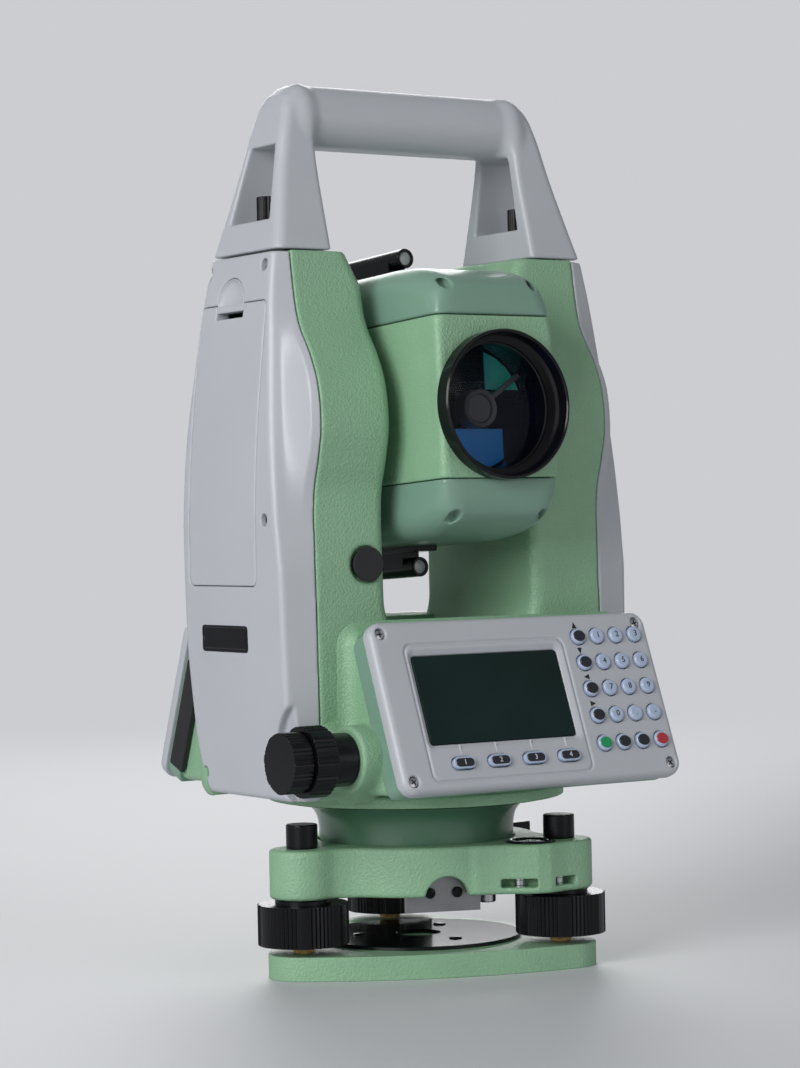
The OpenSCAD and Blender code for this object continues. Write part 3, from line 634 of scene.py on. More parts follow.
def screw_holes(body, side, x, y, z):
    for sy, sz in SCREWS:
        hole = np.maximum(rod_field(y - sy, z - sz, 2.4), along(COVER_OUT, z) - 3.4 - side * x)
        body = cut(body, hole, 0.35)
    return body


def left_cover(x, y, z):
    body = shell_field(-1, x, y, z)
    door = door_outline(y, z)
    body = cut(body, door - 0.25, 0.3)
    body = cut(body, latch_outline(y, z) - 0.25, 0.2)
    knob = rod_field(y - CLAMP[1], z - CLAMP[2], 15.4)
    body = cut(body, knob + 0 * x, 1.5)
    # Room for fingers round the knob
    scoop = both(rod_field(y - CLAMP[1], z - CLAMP[2], 24.5), x + 76.2 + 0.10 * (z - CLAMP[2]), 0.8)
    body = cut(body, scoop, 1.0)
    return screw_holes(body, -1, x, y, z)


def right_cover(x, y, z):
    body = shell_field(1, x, y, z)
    hole = rod_field(y - VERTICAL[1], z - VERTICAL[2], 9.3) + 0 * x
    body = cut(body, hole, 0.6)
    return screw_holes(body, 1, x, y, z)


def battery_door(x, y, z):
    body = cover_field(-1)(x, y, z)
    body = both(body, door_outline(y, z), 0.5)
    body = both(body, x + SEAM_X + 4, 0.3)
    notch = np.maximum(np.abs(y - LATCH_Y) - LATCH_R - 0.3, LATCH_LOW[2] - 2.5 - z)
    body = cut(body, notch + 0 * x, 0.3)
    pack = box_field(x, y, z, (-SEAM_X - 5, -12, DOOR_LOW[2] + 6), (-SEAM_X + 16, 24, DOOR_HIGH[2] - 10),
        1.5)
    return np.minimum(body, pack)


def latch(x, y, z):
    body = cover_field(-1)(x, y, z) + 0.15
    # A finger scoop, deepest just above the tab
    span = np.sqrt((y - LATCH_Y) ** 2 + np.maximum(z - DOOR_HIGH[2], 0) ** 2) / (LATCH_R - 0.6)
    dish = 3.0 * np.sqrt(np.clip(1 - span ** 2, 0, 1))
    body = body + np.where(z > DOOR_HIGH[2] - 0.4, dish, 0)
    body = both(body, latch_outline(y, z) + 0 * x, 0.3)
    return both(body, x + SEAM_X + 4, 0.3)


GRIP_R, HANDLE_Y, LEG_IN = 13, 4.25, 48     # grip's radius, handle's middle, inner face of its legs


def handle(x, y, z):
    ax, mid = np.abs(x), HANDLE_Y
    top = HANDLE_HIGH[2]
    grip = top - GRIP_R
    side_points = smooth_line([(-26.2, TOP), (-22.2, TOP + 14), (-16.8, TOP + 34), (-13.4, top - 16),
        (-10.4, top - 6.2), (-5.6, top - 1.2), (0, top), (5.6, top - 1.2), (10.4, top - 6.2),
        (13.4, top - 16), (16.8, TOP + 34), (22.2, TOP + 14), (26.2, TOP)], 5)
    arch = polygon_field(y - mid, z, list(side_points) + [(26.2, TOP - 9), (-26.2, TOP - 9)])
    outer = polygon_field(ax, z, [(-20, TOP - 9), (74.6, TOP - 9), (73.4, TOP), (70.2, TOP + 14),
        (66.9, TOP + 29), (62.6, top - 20), (59.6, top - 9.5), (57.6, top - 4.8), (54.6, top - 1.6),
        (50.5, top), (-20, top)])
    legs = both(arch, outer, 4.0)
    legs = both(legs, LEG_IN - ax, 2.0)
    bar = both(rod_field(y - mid, z - grip, GRIP_R), ax - LEG_IN - 4, 2)
    body = either(legs, bar, 5.0)
    body = np.maximum(body, outer)
    body = both(body, TOP + 0.5 - z, 0.6)
    strip = np.maximum(np.abs(z - (top - 5.0)) - 0.25, 11.4 - np.abs(y - mid))
    body = cut(body, np.maximum(strip + 0 * x, ax - 46), 0.15)
    window = polygon_field(y - mid, z, [(-15, TOP + 13), (15, TOP + 13), (9.5, top - 25), (-9.5, top - 25)])
    return cut(body, window + 0 * x, 1.0)


# Telescope, in its own frame: origin on the trunnion axis, objective along -Y
SCOPE = Matrix.Translation((0, 0, TRUNNION)) @ Matrix.Rotation(math.radians(-PITCH), 4, "X")
FRONT, BACK, SCOPE_HALF = 64.7, 48.0, 27.5  # objective end, eyepiece end, half the width
SPLIT_LOW, SPLIT_HIGH = -28, 35             # where the covers meet the housing


COVER_HIGH = {1: 57.0, -1: 51.0}               # upper and lower cover, from the trunnion axis


def scope_arch(up):
    """The arched outline of the upper (1) or lower (-1) cover, run out past both ends."""
    high = COVER_HIGH[up]
    line = smooth_line([(-FRONT - 12, high - 34), (-FRONT - 3, high - 18), (-FRONT + 2, high - 9.5),
        (-FRONT + 9, high - 5), (-FRONT + 20, high - 1.7), (-FRONT + 34, high - 0.2), (-FRONT + 50, high),
        (BACK - 20, high), (BACK - 10, high - 2), (BACK - 3, high - 7.5), (BACK + 2, high - 16),
        (BACK + 10, high - 34)], 4)
    return [(u, up * v) for u, v in line]


ARCHES = list(scope_arch(1)) + list(scope_arch(-1))[::-1]


SEAM = 0.35                                 # open seam between two shells


def scope_core(x, y, z):
    """Body of the telescope before it is split into housing and covers."""
    body = both(np.abs(x) - SCOPE_HALF, polygon_field(y, z, ARCHES), 10.0)
    return both(body, np.maximum(-FRONT - y, y - BACK), 2.6)


def scope_housing(x, y, z):
    body = scope_core(x, y, z)
    body = both(body, np.maximum(SPLIT_LOW - z, z - SPLIT_HIGH), 0.5)
    bore = rod_field(x, z, 25.6)
    body = cut(body, np.maximum(bore, y - 20), 0.4)
    back = np.maximum(rod_field(x, z, 15.1), -y)
    return cut(body, back, 0.4)


def scope_covers(x, y, z):
    body = scope_core(x, y, z)
    body = both(body, np.minimum(SPLIT_HIGH + SEAM - z, z - SPLIT_LOW + SEAM), 0.5)
    for sx in (-1, 1):
        for sz in (COVER_HIGH[1] - 9.5, 8.5 - COVER_HIGH[-1]):
            body = cut(body, np.maximum(rod_field(x - sx * 20.5, z - sz, 2.3), y + FRONT - 9), 0.4)
    return body


# Display units, in their own frame: origin in the bezel's front, +Z out of the face
BEZEL_W, BEZEL_H, BEZEL_T = 132.0, 69.0, 5.5
BEZEL_SCREWS = [(sx * (BEZEL_W / 2 - 5), sy * (BEZEL_H / 2 - 5)) for sx in (-1, 1) for sy in (-1, 1)]
SCREEN_MID = (-15.0, 2.3)
PAD_MID = (-14.8, -2.9)
DISPLAY_X = 9.1
DISPLAY_Y = -67.8
DISPLAY_Z = TRUNNION - 110.8


def display_matrix(turn):
    """Places a display unit; the rear one is the front one turned half round the vertical axis."""
    return (Matrix.Rotation(math.radians(turn), 4, "Z") @ Matrix.Translation((DISPLAY_X, DISPLAY_Y,
        DISPLAY_Z)) @ Matrix.Rotation(math.pi / 2 - TILT, 4, "X"))


FRONT_DISPLAY = display_matrix(0)
KEY_PROUD = 1.3


def key_place(node):
    """Middle of a key's top in its display's frame."""
    low, high = box_mm(node)
    return (FRONT_DISPLAY.inverted() @ Vector((low + high) / 2)).xy


KEY_NAMES = sorted(name for name in NODES if name.startswith("key_"))
KEY_PLACES = {name: key_place(name) for name in KEY_NAMES}


SHELL_BACK = 15.5                           # back of the smooth shell behind a bezel, from the bezel's face


def display_shell(x, y, z):
    """Smooth shell between a bezel and its housing, in the display's own frame."""
    height = DISPLAY_Z + z * math.sin(TILT) + y * math.cos(TILT)
    body = both(rounded_field(x, y, (0, 0), BEZEL_W - 2.4, BEZEL_H - 2.4, 5.5),
        np.maximum(z + 5.7, -SHELL_BACK - z), 0.5)
    room = rounded_field(x, y, (0, 0), BEZEL_W - 11, BEZEL_H - 11, 3.5)      # where pressed keys go
    body = cut(body, np.maximum(room, -SHELL_BACK + 3 - z), 0.3)
    return np.maximum(body, COVER_BOTTOM + 1.5 - height)


def display_housing(x, y, z):
    """Housing that grows out of the yoke behind a display's shell."""
    s, c = math.sin(TILT), math.cos(TILT)
    out = -(y - DISPLAY_Y) * c + (z - DISPLAY_Z) * s          # distance in front of the bezel's face
    up = (y - DISPLAY_Y) * s + (z - DISPLAY_Z) * c
    body = both(np.abs(x - DISPLAY_X) - 63.2 + 0 * y, np.maximum(up - 35, -up - 32.4), 4.0)
    body = both(body, out + SHELL_BACK - 0.3, 0.5)
    return both(body, np.maximum(COVER_BOTTOM + 2.5 - z, z - DISPLAY_Z - 34.0), 2.5)


def blended(body, y, z):
    """A housing with a soft fillet where it meets the yoke's front."""
    front = along(SIDE_FRONT, z) - y + 0.12
    joined = np.maximum(either(body, front, 7.0), body - 6.0)
    return np.maximum(joined, y + 33)


def rear_housing(x, y, z):
    return blended(display_housing(x, y, z), y, z)


def front_housing(x, y, z):
    body = display_housing(x, y, z)
    boss = both(rod_field(y - CLAMP[1], z - CLAMP[2], 12.8), np.maximum(-64 - x, x + 44), 1.0)
    return blended(either(body, boss, 3.0), y, z)


VIAL = sum(box_mm("circular_vial")) / 2


def tribrach_body(x, y, z):
    disc = rod_field(x, y, 49)
    body = disc
    for fx, fy in FEET:
        unit = np.array([fx, fy]) / np.hypot(fx, fy)
        ahead = x * unit[0] + y * unit[1]
        aside = np.abs(-x * unit[1] + y * unit[0])
        arm = np.sqrt(aside ** 2 + np.maximum(ahead - 60, 0) ** 2) - 13
        arm = np.maximum(arm, -ahead)
        body = either(body, arm, 9.0)
    swell = polygon_field(x, y, [(0, -30), (-3, -48.5), (7, -54), (16.5, -61), (21.5, -62), (25, -61.4),
        (40, -59.2), (37, -47)]) - 1.2
    body = either(body, swell, 4.0)
    low, high = BODY_LOW[2], BODY_HIGH[2]
    body = both(body, np.maximum(low - z, z - high), 1.6)
    body = cut(body, np.maximum(rod_field(x, y, 44), z - low - 7), 0.8)
    body = cut(body, np.maximum(rod_field(x, y, 39.8), high - 6 - z), 0.8)
    body = cut(body, rod_field(x, y, 30.3) + 0 * z, 0.5)
    body = cut(body, np.maximum(rod_field(x - VIAL[0], y - VIAL[1], 9.7), high - 8 - z), 0.4)
    for fx, fy in FEET:
        body = cut(body, rod_field(x - fx, y - fy, 5.2) + 0 * z, 0.3)
    turn = math.radians(251)
    ahead = x * math.cos(turn) + y * math.sin(turn)
    aside = -x * math.sin(turn) + y * math.cos(turn)
    arch = np.maximum(rod_field(aside, z - (low - 1), 9.0), 30 - ahead)
    body = cut(body, arch, 0.8)
    for sx, sy, facing, half in ADJUSTERS:
        a = math.radians(facing)
        ahead = (x - sx) * math.cos(a) + (y - sy) * math.sin(a)
        aside = -(x - sx) * math.sin(a) + (y - sy) * math.cos(a)
        slot = box_field(ahead, aside, z, (-6, -half, low + 2.6), (20, half, low + 6.0), 0.3)
        body = cut(body, slot, 0.2)
    return body


# Slots through which the vial's adjusting screws are turned: middle, direction they face, half width
ADJUSTERS = [(10.7, -56.7, 233.6, 7.2), (29.2, -60.8, 278.4, 5.3)]


def rounded_field(u, v, mid, width, height, r):
    """Signed distance to a rounded rectangle."""
    a = np.abs(u - mid[0]) - width / 2 + r
    b = np.abs(v - mid[1]) - height / 2 + r
    return np.sqrt(np.maximum(a, 0) ** 2 + np.maximum(b, 0) ** 2) + np.minimum(np.maximum(a, b), 0) - r


def bezel(x, y, z):
    """A display's bezel in its own frame: rounded rim, sunk screen and a raised pad round it."""
    body = both(rounded_field(x, y, (0, 0), BEZEL_W, BEZEL_H, 6), z, 2.6)
    body = np.maximum(body, -BEZEL_T - z)
    groove = np.abs(rounded_field(x, y, PAD_MID, 74.8, 55, 3.5)) - 0.4
    body = cut(body, np.maximum(groove, -0.6 - z), 0.25)
    slope = np.clip((z + 1.5) * 1.6, 0, 2.4)
    body = cut(body, rounded_field(x, y, SCREEN_MID, 68.4, 35.8, 1.5) - slope, 0.4)
    for name, (kx, ky) in KEY_PLACES.items():
        hole = (rounded_field(x, y, (kx, ky), 10.6, 5.2, 2.6) if name.startswith("key_f")
            else rod_field(x - kx, y - ky, 3.5))
        body = cut(body, hole + 0 * z, 0.25)
    for cx, cy in BEZEL_SCREWS:
        body = cut(body, rod_field(x - cx, y - cy, 2.35) + 0 * z, 0.4)
    return body


def front_parts():
    """The sculpted shells of alidade, battery, telescope and tribrach."""
    sculpt("yoke_casting", yoke_field, (-67.6, -60, FLANGE), (67.6, 60, TOP), 0.95, "textured_green",
        "alidade", "yoke")
    sculpt("left_cover_shell", left_cover, (-84, -45, COVER_BOTTOM), (-67, 45, TOP), 0.62,
        "white_plastic", "alidade", "left_cover")
    sculpt("right_cover_shell", right_cover, (67, -45, COVER_BOTTOM), (84, 45, TOP), 0.62,
        "white_plastic", "alidade", "right_cover")
    sculpt("battery_door", battery_door, (-84, -20, DOOR_LOW[2]), (-51, 37, DOOR_HIGH[2]), 0.6,
        "white_plastic", "battery", "battery")
    sculpt("latch_tab", latch, (-80, LATCH_LOW[1], LATCH_LOW[2]), (-71, LATCH_HIGH[1], LATCH_HIGH[2]),
        0.3, "white_plastic", "battery_latch", "battery_latch")
    sculpt("handle_moulding", handle, (-74.6, -23, TOP), (74.6, 31.5, HANDLE_HIGH[2]), 0.75,
        "white_plastic", "alidade", "handle")
    sculpt("telescope_housing", scope_housing, (-27.6, -FRONT, -29), (27.6, BACK, 36), 0.7,
        "textured_green", "telescope", "telescope_body", turn=SCOPE)
    sculpt("telescope_cover_pair", scope_covers, (-27.6, -FRONT, -52), (27.6, BACK, 58), 0.7,
        "smooth_green", "telescope", "telescope_covers", turn=SCOPE)
    low, high = box_mm("display_housings")
    far = (high[0] + 9, -33, high[2] + 8)
    sculpt("front_display_housing", front_housing, (-66, low[1], COVER_BOTTOM), far, 0.8,
        "textured_green", "alidade", "display_housings")
    sculpt("rear_display_housing", rear_housing, (-60, low[1], COVER_BOTTOM), far, 0.8, "textured_green",
        "alidade", "display_housings", turn=Matrix.Rotation(math.pi, 4, "Z"))
    for name, turn in (("front", 0), ("rear", 180)):
        sculpt(f"{name}_bezel", bezel, (-BEZEL_W / 2, -BEZEL_H / 2, -BEZEL_T),
            (BEZEL_W / 2, BEZEL_H / 2, 0), 0.45, "white_plastic", "alidade", "display_bezels",
            turn=display_matrix(turn))
        sculpt(f"{name}_display_shell", display_shell, (-BEZEL_W / 2, -BEZEL_H / 2, -SHELL_BACK - 1),
            (BEZEL_W / 2, BEZEL_H / 2, -5), 0.7, "smooth_green", "alidade", turn=display_matrix(turn))
    sculpt("tribrach_casting", tribrach_body, (BODY_LOW[0], BODY_LOW[1], BODY_LOW[2]),
        (BODY_HIGH[0], BODY_HIGH[1], BODY_HIGH[2]), 0.65, "textured_green", "tribrach", "tribrach_body")


front_parts()


# ---------------------------------------------------------------- turned and small parts

OBJECTIVE_R, REACH, LENS_R = 29.1, 71.4, 24.0


def wedge(u_from, v_from, r, u_sign, v_sign, steps=24):
    """Outline of the part of a disc of radius r beyond a corner at u_from, v_from."""
    points = [(u_from, v_from)]
    for i in range(steps + 1):
        a = 2 * math.pi * i / steps
        u, v = r * math.cos(a), r * math.sin(a)
        if (u - u_from) * u_sign > 0 and (v - v_from) * v_sign > 0:
            points.append((u, v))
    edge_u = u_sign * math.sqrt(r * r - v_from * v_from)
    edge_v = v_sign * math.sqrt(r * r - u_from * u_from)
    points += [(edge_u, v_from), (u_from, edge_v)]
    mid = np.mean(points, axis=0)
    return sorted(points, key=lambda p: math.atan2(p[1] - mid[1], p[0] - mid[0]))


def objective():
    """The objective: rim, threaded bore and lens, with the transmitter's hub and coatings behind it; the
    coatings carry a painted reflection and a painted glow.
    """
    inward = SCOPE @ axis_matrix((0, -REACH, 0), (0, 1, 0))
    step = REACH - FRONT
    rim = [(25.6, 54), (25.6, step), (OBJECTIVE_R, step), (OBJECTIVE_R, 0.6), (28.6, 0), (28.0, 0),
        (27.6, 0.5), (26.9, 4.6), (25.6, 5.0)]
    for turn in range(9):
        rim += [(25.6, 5.0 + 0.5 * turn), (25.15, 5.25 + 0.5 * turn)]
    rim += [(25.0, 10.0), (24.3, 10.2), (24.3, 34), (0, 34)]
    assembly("objective_ring_piece", [(ring_mesh(rim, 128), inward, BLACK_METAL)], "telescope",
        "black_metal", "objective_ring", sharp=25)
    bulge = [(LENS_R * i / 12, 9.5 + 3.2 * (i / 12) ** 2) for i in range(13)]
    back = [(LENS_R * i / 12, 17.0 - 1.6 * (i / 12) ** 2) for i in range(12, -1, -1)]
    assembly("objective_lens_piece", [(ring_mesh(bulge + back, 96), inward, LENS)], "telescope",
        "lens_glass", "objective_lens", sharp=40)
    hub = [(0, 20.6), (5.3, 20.6), (5.5, 20.1), (5.9, 19.6), (7.3, 19.3), (7.8, 19.8), (7.8, 26), (0, 26)]
    arm = Matrix.Rotation(math.radians(34), 4, "Y")
    seen = Matrix(((1, 0, 0, 0), (0, 0, 1, -REACH), (0, 1, 0, 0), (0, 0, 0, 1)))   # u right, v up, w inward
    parts = [(ring_mesh(hub, 64), inward, BARREL), (box_mesh((7.4, -REACH + 20.6, -0.9),
        (23.9, -REACH + 22.4, 0.9)), SCOPE @ arm.inverted(), BARREL),
        # Teal and blue wedges of coating, with a painted reflection and a painted glow in their finishes
        (prism_mesh(wedge(6.6, 8.0, 23.6, 1, 1), 25.0, 25.6), SCOPE @ seen, TEAL_GLOW),
        (prism_mesh(wedge(13.6, -7.6, 23.6, -1, -1, 48), 25.0, 25.6), SCOPE @ seen, BLUE_GLOW)]
    assembly("transmitter_hub", parts, "telescope", "black_metal")


def sights():
    """Two collimator sights, over and under the telescope."""
    tube = [(0, 0.7), (2.7, 0.7), (2.9, 0.0), (3.7, 0.0), (4.0, 0.4), (4.0, 41.6), (3.7, 42), (0, 42)]
    window = [(0, 0.45), (1.6, 0.5), (2.75, 0.72), (2.75, 1.2), (0, 1.2)]
    for name, up in (("upper", 1), ("lower", -1)):
        flip = Matrix.Diagonal((1, 1, up, 1))
        high = COVER_HIGH[up]
        nose = SCOPE @ axis_matrix((0, -4, up * (high + 8.6)), (0, 1, 0))
        rail = [(-4.4, -6.5), (6.6, -6.5), (6.6, 35.5), (-4.4, 35.5)]
        parts = [(ring_mesh(tube, 64), nose, BLACK), (ring_mesh(window, 48), nose, SIGHT_GLASS),
            (prism_mesh(rail, high - 0.4, high + 2.4, 0.4), SCOPE @ flip, BLACK),
            (prism_mesh([(-4.0, 3), (4.0, 3), (4.0, 34), (-4.0, 34)], high + 2, high + 8.6, 0.3),
            SCOPE @ flip, BLACK)]
        replaced = ["optical_sights"] if up > 0 else []
        assembly(f"{name}_sight", parts, "telescope", "black_plastic", *replaced)


def vial():
    """Circular level: black cell, ring mark and bubble under a domed glass."""
    place = Matrix.Translation((VIAL[0], VIAL[1], BODY_HIGH[2]))
    cell = [(0, -7.5), (9.4, -7.5), (9.4, 0.3), (9.0, 0.8), (7.4, 0.8), (6.8, 0.4), (6.4, -0.3),
        (6.4, -3.6), (0, -3.6)]
    liquid = [(0, -3.4), (6.3, -3.4), (6.3, -1.2), (0, -1.2)]
    dome = [(6.3, -1.0), (6.3, -0.5), (4.4, 0.2), (2.2, 0.5), (0, 0.6)]
    mark = [(2.7, -1.1), (3.0, -1.1), (3.0, -1.0), (2.7, -1.0), (2.7, -1.1)]
    bubble = [(0, -1.2)] + [(2.1 * math.cos(a), -1.1 + 0.5 * math.sin(a)) for a in np.linspace(0,
        math.pi / 2, 6)[:-1]]
    parts = [(ring_mesh(cell), place, BLACK_GLOSS), (ring_mesh(liquid), place, VIAL_LIQUID),
        (ring_mesh(mark), place, INK), (ring_mesh(bubble + [(0, -0.6)]), place, SIGHT_GLASS)]
    assembly("vial_cell", parts, "tribrach", "vial_black", "circular_vial")
    assembly("vial_dome", [(ring_mesh([(0, -0.9)] + dome), place, VIAL_GLASS)], "tribrach", "lens_glass")


def cross_head(r):
    """A screw's domed head with a cross let into it, facing +Z with its rim at 0."""
    dome = [(0, -1.4), (r, -1.4), (r, -0.3), (r * 0.9, 0), (r * 0.5, 0.28), (0, 0.34)]
    bar = r * 0.62
    return [(ring_mesh(dome, 32), STEEL), (box_mesh((-bar, -r * 0.13, 0), (bar, r * 0.13, 0.37)), INK),
        (box_mesh((-r * 0.13, -bar, 0), (r * 0.13, bar, 0.37)), INK)]


def screws():
    """Heads of the bezels' and covers' screws."""
    parts = []
    for turn in (0, 180):
        for cx, cy in BEZEL_SCREWS:
            spot = display_matrix(turn) @ Matrix.Translation((cx, cy, -1.2))
            lean = Matrix.Rotation(0.4 + math.copysign(0.9, cx) + math.copysign(0.5, cy), 4, "Z")
            parts += [(mesh, spot @ lean, finish) for mesh, finish in cross_head(2.0)]
    for side in (-1, 1):
        for sy, sz in SCREWS:
            head = side * (float(along(COVER_OUT, sz)) - 3.1)
            spot = axis_matrix((head, sy, sz), (side, 0, 0)) @ Matrix.Rotation(sz, 4, "Z")
            parts += [(mesh, spot, finish) for mesh, finish in cross_head(2.0)]
    assembly("screw_heads", parts, "alidade", "steel", "case_screws")


SPRING_T, SPRING_R, TRIPOD_R = 1.5, 41.6, 7.94
BASE_T, RECESS_R = BASE_HIGH[2], 44.0


def spring_plate():
    """Black spring plate on the base, and the steel bracket with its post that show in the arch above."""
    flat = Matrix.Translation((0, 0, BASE_T))
    plate = [(TRIPOD_R + 1, 0), (SPRING_R, 0), (SPRING_R, SPRING_T - 0.3), (SPRING_R - 0.3, SPRING_T),
        (TRIPOD_R + 1.3, SPRING_T), (TRIPOD_R + 1, SPRING_T - 0.3), (TRIPOD_R + 1, 0)]
    parts = [(ring_mesh(plate, 128), flat, BLACK_GLOSS)]
    for a in (35, 155, 275):
        rivet = Matrix.Rotation(math.radians(a), 4, "Z") @ Matrix.Translation((24, 0, BASE_T + SPRING_T))
        parts.append((ring_mesh([(0, -0.4), (2.6, -0.4), (2.6, 0.3), (2.2, 0.6), (0, 0.7)], 32), rivet,
            BLACK_METAL))
    low = BODY_LOW[2]
    stand = Matrix.Rotation(math.radians(251), 4, "Z")
    bracket = box_mesh((RECESS_R - 6, -15, low - 6.5), (RECESS_R - 3, 15, low + 7))
    parts.append((bracket, stand, DARK_STEEL))
    for y in (-5.5, 5.5):
        head = stand @ axis_matrix((RECESS_R - 3, y, low + 1), (1, 0, 0))
        parts += [(ring_mesh([(0, -0.3), (2.1, -0.3), (2.1, 0.9), (1.7, 1.3), (1.1, 1.4), (1.0, 0.8),
            (0, 0.8)], 32), head, BLACK_METAL)]
    post = stand @ Matrix.Translation((RECESS_R - 11, 20, low))
    parts.append((ring_mesh([(0, -4.5), (3.1, -4.5), (3.5, -4.1), (3.5, -1.0), (3.2, -0.7), (3.2, -0.2),
        (3.5, 0.1), (3.5, 7), (0, 7)], 48), post, STEEL))
    assembly("spring_plate_set", parts, "tribrach", "black_plastic", "spring_plate")
    parts = []
    for sx, sy, facing, half in ADJUSTERS:
        a = math.radians(facing)
        spot = Matrix.Translation((sx - 3.4 * math.cos(a), sy - 3.4 * math.sin(a), low + 2.55))
        head = [(0, 0), (2.4, 0), (2.4, 0.5), (2.1, 0.8), (2.1, 2.6), (2.4, 2.9), (2.4, 3.4), (0, 3.4)]
        parts.append((ring_mesh(head, 40), spot, STEEL))
    assembly("vial_adjusting_screws", parts, "tribrach", "steel")


DIGITS = {"a2": "1", "a3": "2", "a4": "3", "b2": "4", "b3": "5", "b4": "6", "c2": "7", "c3": "8",
    "c4": "9", "d2": "0", "d3": ".", "d4": "-", "f1": "1", "f2": "2", "f3": "3", "f4": "4"}
CAPS = {"e1": ("key_green", KEY_GREEN), "e4": ("key_red", KEY_RED)}
ARROWS = {"a1": 90, "b1": -90, "c1": 180, "d1": 0}


def key_faces():
    """Dark and coloured tops of keys, and the plain numbers printed on them, on both displays."""
    for name, (kx, ky) in KEY_PLACES.items():
        key = name[4:]
        dark = key[0] in "ef" or key[1] == "1"
        for side, turn, body in (("front", 0, name), ("rear", 180, "alidade")):
            top = display_matrix(turn) @ Matrix.Translation((kx, ky, KEY_PROUD))
            if dark:
                slot, finish = CAPS.get(key, ("key_black", KEY_BLACK))
                outline = pill(8.4, 3.3) if key[0] == "f" else oval(2.8, 2.3)
                assembly(f"{side}_cap_{key}", [(prism_mesh(outline, -0.3, 0.28, 0.2), top, finish)], body,
                    slot)
            if key in DIGITS:
                lift = Matrix.Translation((0, 0, 0.30 if dark else 0.03))
                label(f"{side}_digit_{key}", DIGITS[key], 2.9 if key[0] == "f" else 3.4, top @ lift, body,
                    "key_black", INK_PALE if dark else INK)


def printed_marks():
    """Arrows by the first column of keys and lines over the function keys."""
    for turn, side in ((0, "front"), (180, "rear")):
        arrows, lines = [], []
        for key, angle in ARROWS.items():
            kx, ky = KEY_PLACES["key_" + key]
            spot = display_matrix(turn) @ Matrix.Translation((kx - 0.6, ky + 5.0,
                0)) @ Matrix.Rotation(math.radians(angle), 4, "Z")
            arrows.append((prism_mesh([(-1.3, -1.1), (1.3, 0), (-1.3, 1.1)], -0.2, 0.06), spot, INK))
        for number in "1234":
            kx, ky = KEY_PLACES["key_f" + number]
            line = box_mesh((kx - 0.3, ky + 3.6, -0.2), (kx + 0.3, ky + 7.4, 0.12))
            lines.append((line, display_matrix(turn), INK_PALE))
        assembly(f"{side}_arrows", arrows, "alidade", "key_black")
        assembly(f"{side}_key_lines", lines, "alidade", "white_plastic")


def name_plate(x, y, z):
    """A bare black plate let into the left cover."""
    skin = np.abs(cover_field(-1)(x, y, z)) - 0.28
    plate = rounded_field(y, z, (8.7, TRUNNION - 85.6), 35.5, 10.5, 1.6)
    frame_line = np.abs(plate + 1.1) - 0.22
    body = both(skin, plate + 0 * x, 0.15)
    return np.maximum(body, -np.maximum(frame_line + 0 * x, -(skin + 0.18)))


objective()
sights()
vial()
screws()
spring_plate()
key_faces()
printed_marks()
sculpt("name_plate", name_plate, (-83.5, -10, TRUNNION - 92), (-80.5, 28, TRUNNION - 79), 0.22,
    "black_plastic", "alidade")

FOOTSCREW = graded(material("footscrew_moulding", (0.003, 0.003, 0.005), rough=0.24, spec=0.28,
    grain=(1500, 0.00004)), "Z", 0.01290, 0.01300, (0.85, 0.58, 0.20), (0.004, 0.004, 0.005))


# ---------------------------------------------------------------- CAD nodes that stay

RIBBED = dict(segments=2, angle=20)         # softens knurls without closing them up
KEPT = [("base_plate", TEXTURED, 2.0, dict(segments=4, angle=40)), ("footscrew_caps", BLACK, 0.7, {}),
    ("lock_knob", BLACK, 0.8, {}), ("centring_base", NECK, 0, {}), ("lcd_windows", SCREEN, 0.2, {}),
    ("port_covers", RUBBER, 0.3, {}), ("eyepiece", BLACK, 0.5, {}), ("trunnion_stubs", STEEL, 0.3, {})]
KEPT += [(f"footscrew_{c}", FOOTSCREW, 0.25, RIBBED) for c in "abc"]
KEPT += [(f"handle_screw_{side}", BLACK, 0.2, RIBBED) for side in ("left", "right")]
KEPT += [(name, BLACK, 0.3, RIBBED) for name in ("horizontal_clamp_ring", "horizontal_tangent_knob",
    "focus_ring", "vertical_clamp_ring", "vertical_tangent_knob")]
KEPT += [(name, KEY_BLUE, 1.0, dict(segments=4)) for name in ["rear_keypad"] + KEY_NAMES]
for node, finish, bevel, how in KEPT:
    finish_node(node, finish, bevel, **how)


# ---------------------------------------------------------------- stage, camera and light

BACKDROP = (0.60, 0.61, 0.63, 1)


def fading(m):
    """Lets the camera see the floor turn into the backdrop with distance."""
    place, path, length, share = [add(m, kind) for kind in ("TexCoord", "LightPath", "VectorMath", "Math")]
    length.operation, share.operation = "LENGTH", "MULTIPLY"
    far = add(m, "MapRange", From_Min=0.35, From_Max=1.5)
    far.interpolation_type = "SMOOTHSTEP"
    glow, mix = add(m, "Emission", Color=BACKDROP), add(m, "MixShader")
    join(m, (place, "Object", length, 0), (length, "Value", far, "Value"), (far, "Result", share, 0),
        (path, "Is Camera Ray", share, 1), (share, "Value", mix, "Fac"),
        (m.node_tree.nodes["Principled BSDF"], "BSDF", mix, 1), (glow, "Emission", mix, 2),
        (mix, "Shader", m.node_tree.nodes["Material Output"], "Surface"))
    return m


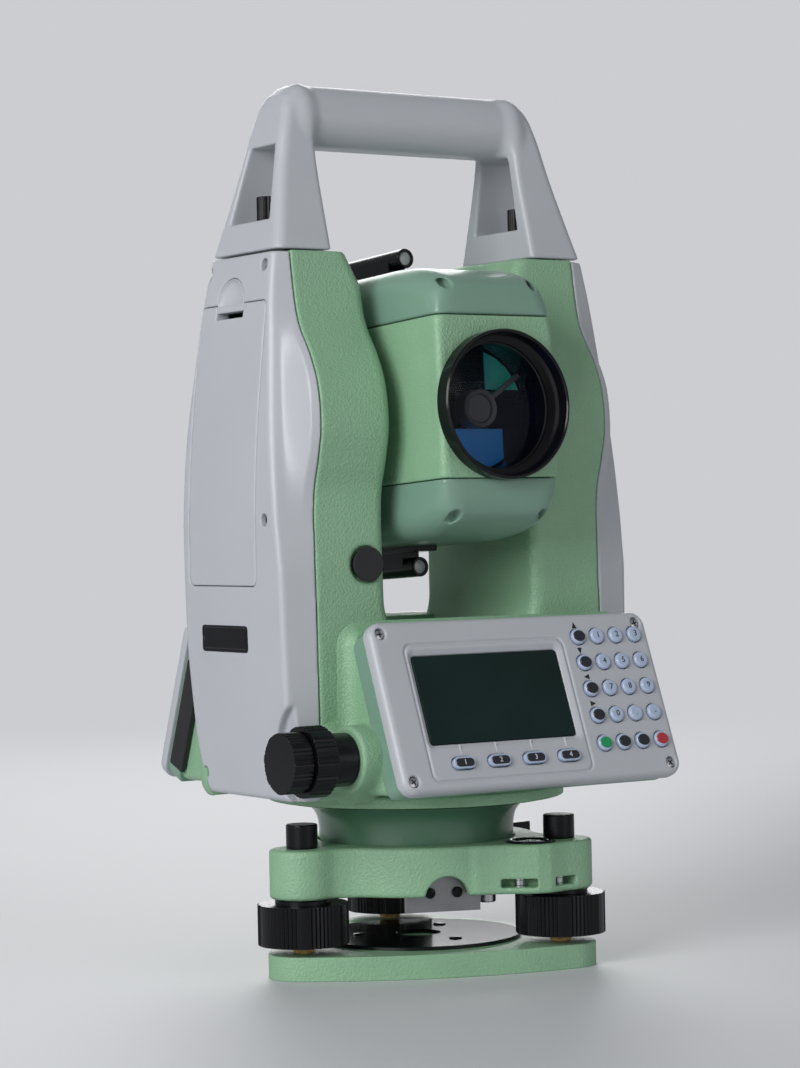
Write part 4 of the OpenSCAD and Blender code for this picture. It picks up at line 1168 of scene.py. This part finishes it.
def stage_and_light():
    pale = fading(material("pale_floor", (0.66, 0.67, 0.69), rough=0.6, tint=0.01, tint_scale=3))
    mesh_object("floor", [(-4000, -4000, 0), (4000, -4000, 0), (4000, 4000, 0),
        (-4000, 4000, 0)], [(0, 1, 2, 3)], pale)
    world = bpy.data.worlds.new("studio")
    bpy.context.scene.world = world
    world.use_nodes = True
    nodes = world.node_tree.nodes
    light, seen = nodes["Background"], add(world, "Background", Color=BACKDROP)
    light.inputs["Color"].default_value = (0.84, 0.86, 0.90, 1)
    light.inputs["Strength"].default_value = 0.31
    path, unlit, mix = [add(world, kind) for kind in ("LightPath", "Math", "MixShader")]
    unlit.operation = "MAXIMUM"
    join(world, (path, "Is Camera Ray", unlit, 0), (path, "Is Transmission Ray", unlit, 1),
        (unlit, "Value", mix, "Fac"), (light, "Background", mix, 1), (seen, "Background", mix, 2),
        (mix, "Shader", nodes["World Output"], "Surface"))
    lamps = [("key", (-1.5, -0.65, 0.75), 0.9, 20), ("fill", (0.5, -1.7, 0.3), 1.0, 3),
        ("back", (0.8, 1.5, 0.8), 1.0, 13)]
    for name, place, size, power in lamps:
        lamp = bpy.data.lights.new(name, "AREA")
        lamp.size = size
        lamp.energy = power
        thing = bpy.data.objects.new(name, lamp)
        thing.location = place
        thing.rotation_mode = "QUATERNION"
        thing.rotation_quaternion = (Vector((0, 0, 0.17)) - Vector(place)).to_track_quat("-Z", "Y")
        bpy.context.collection.objects.link(thing)


def camera():
    """The photograph's viewing angle: level, about a third of a right angle to the left of the display."""
    azimuth, elevation, roll = math.radians(-33.16), math.radians(0.25), math.radians(-1.13)
    back = Vector((math.sin(azimuth) * math.cos(elevation), -math.cos(azimuth) * math.cos(elevation),
        math.sin(elevation)))
    right = Vector((math.cos(azimuth), math.sin(azimuth), 0))
    up = back.cross(right)
    turned_right = right * math.cos(roll) + up * math.sin(roll)
    turned_up = -right * math.sin(roll) + up * math.cos(roll)
    data = bpy.data.cameras.new("camera")
    data.sensor_width = 36
    data.lens = 98.87
    thing = bpy.data.objects.new("camera", data)
    thing.matrix_world = Matrix(((turned_right.x, turned_up.x, back.x, -0.6545),
        (turned_right.y, turned_up.y, back.y, -0.9940), (turned_right.z, turned_up.z, back.z, 0.1780),
        (0, 0, 0, 1)))
    bpy.context.collection.objects.link(thing)
    bpy.context.scene.camera = thing


stage_and_light()
camera()
bpy.context.scene.view_settings.view_transform = "Standard"
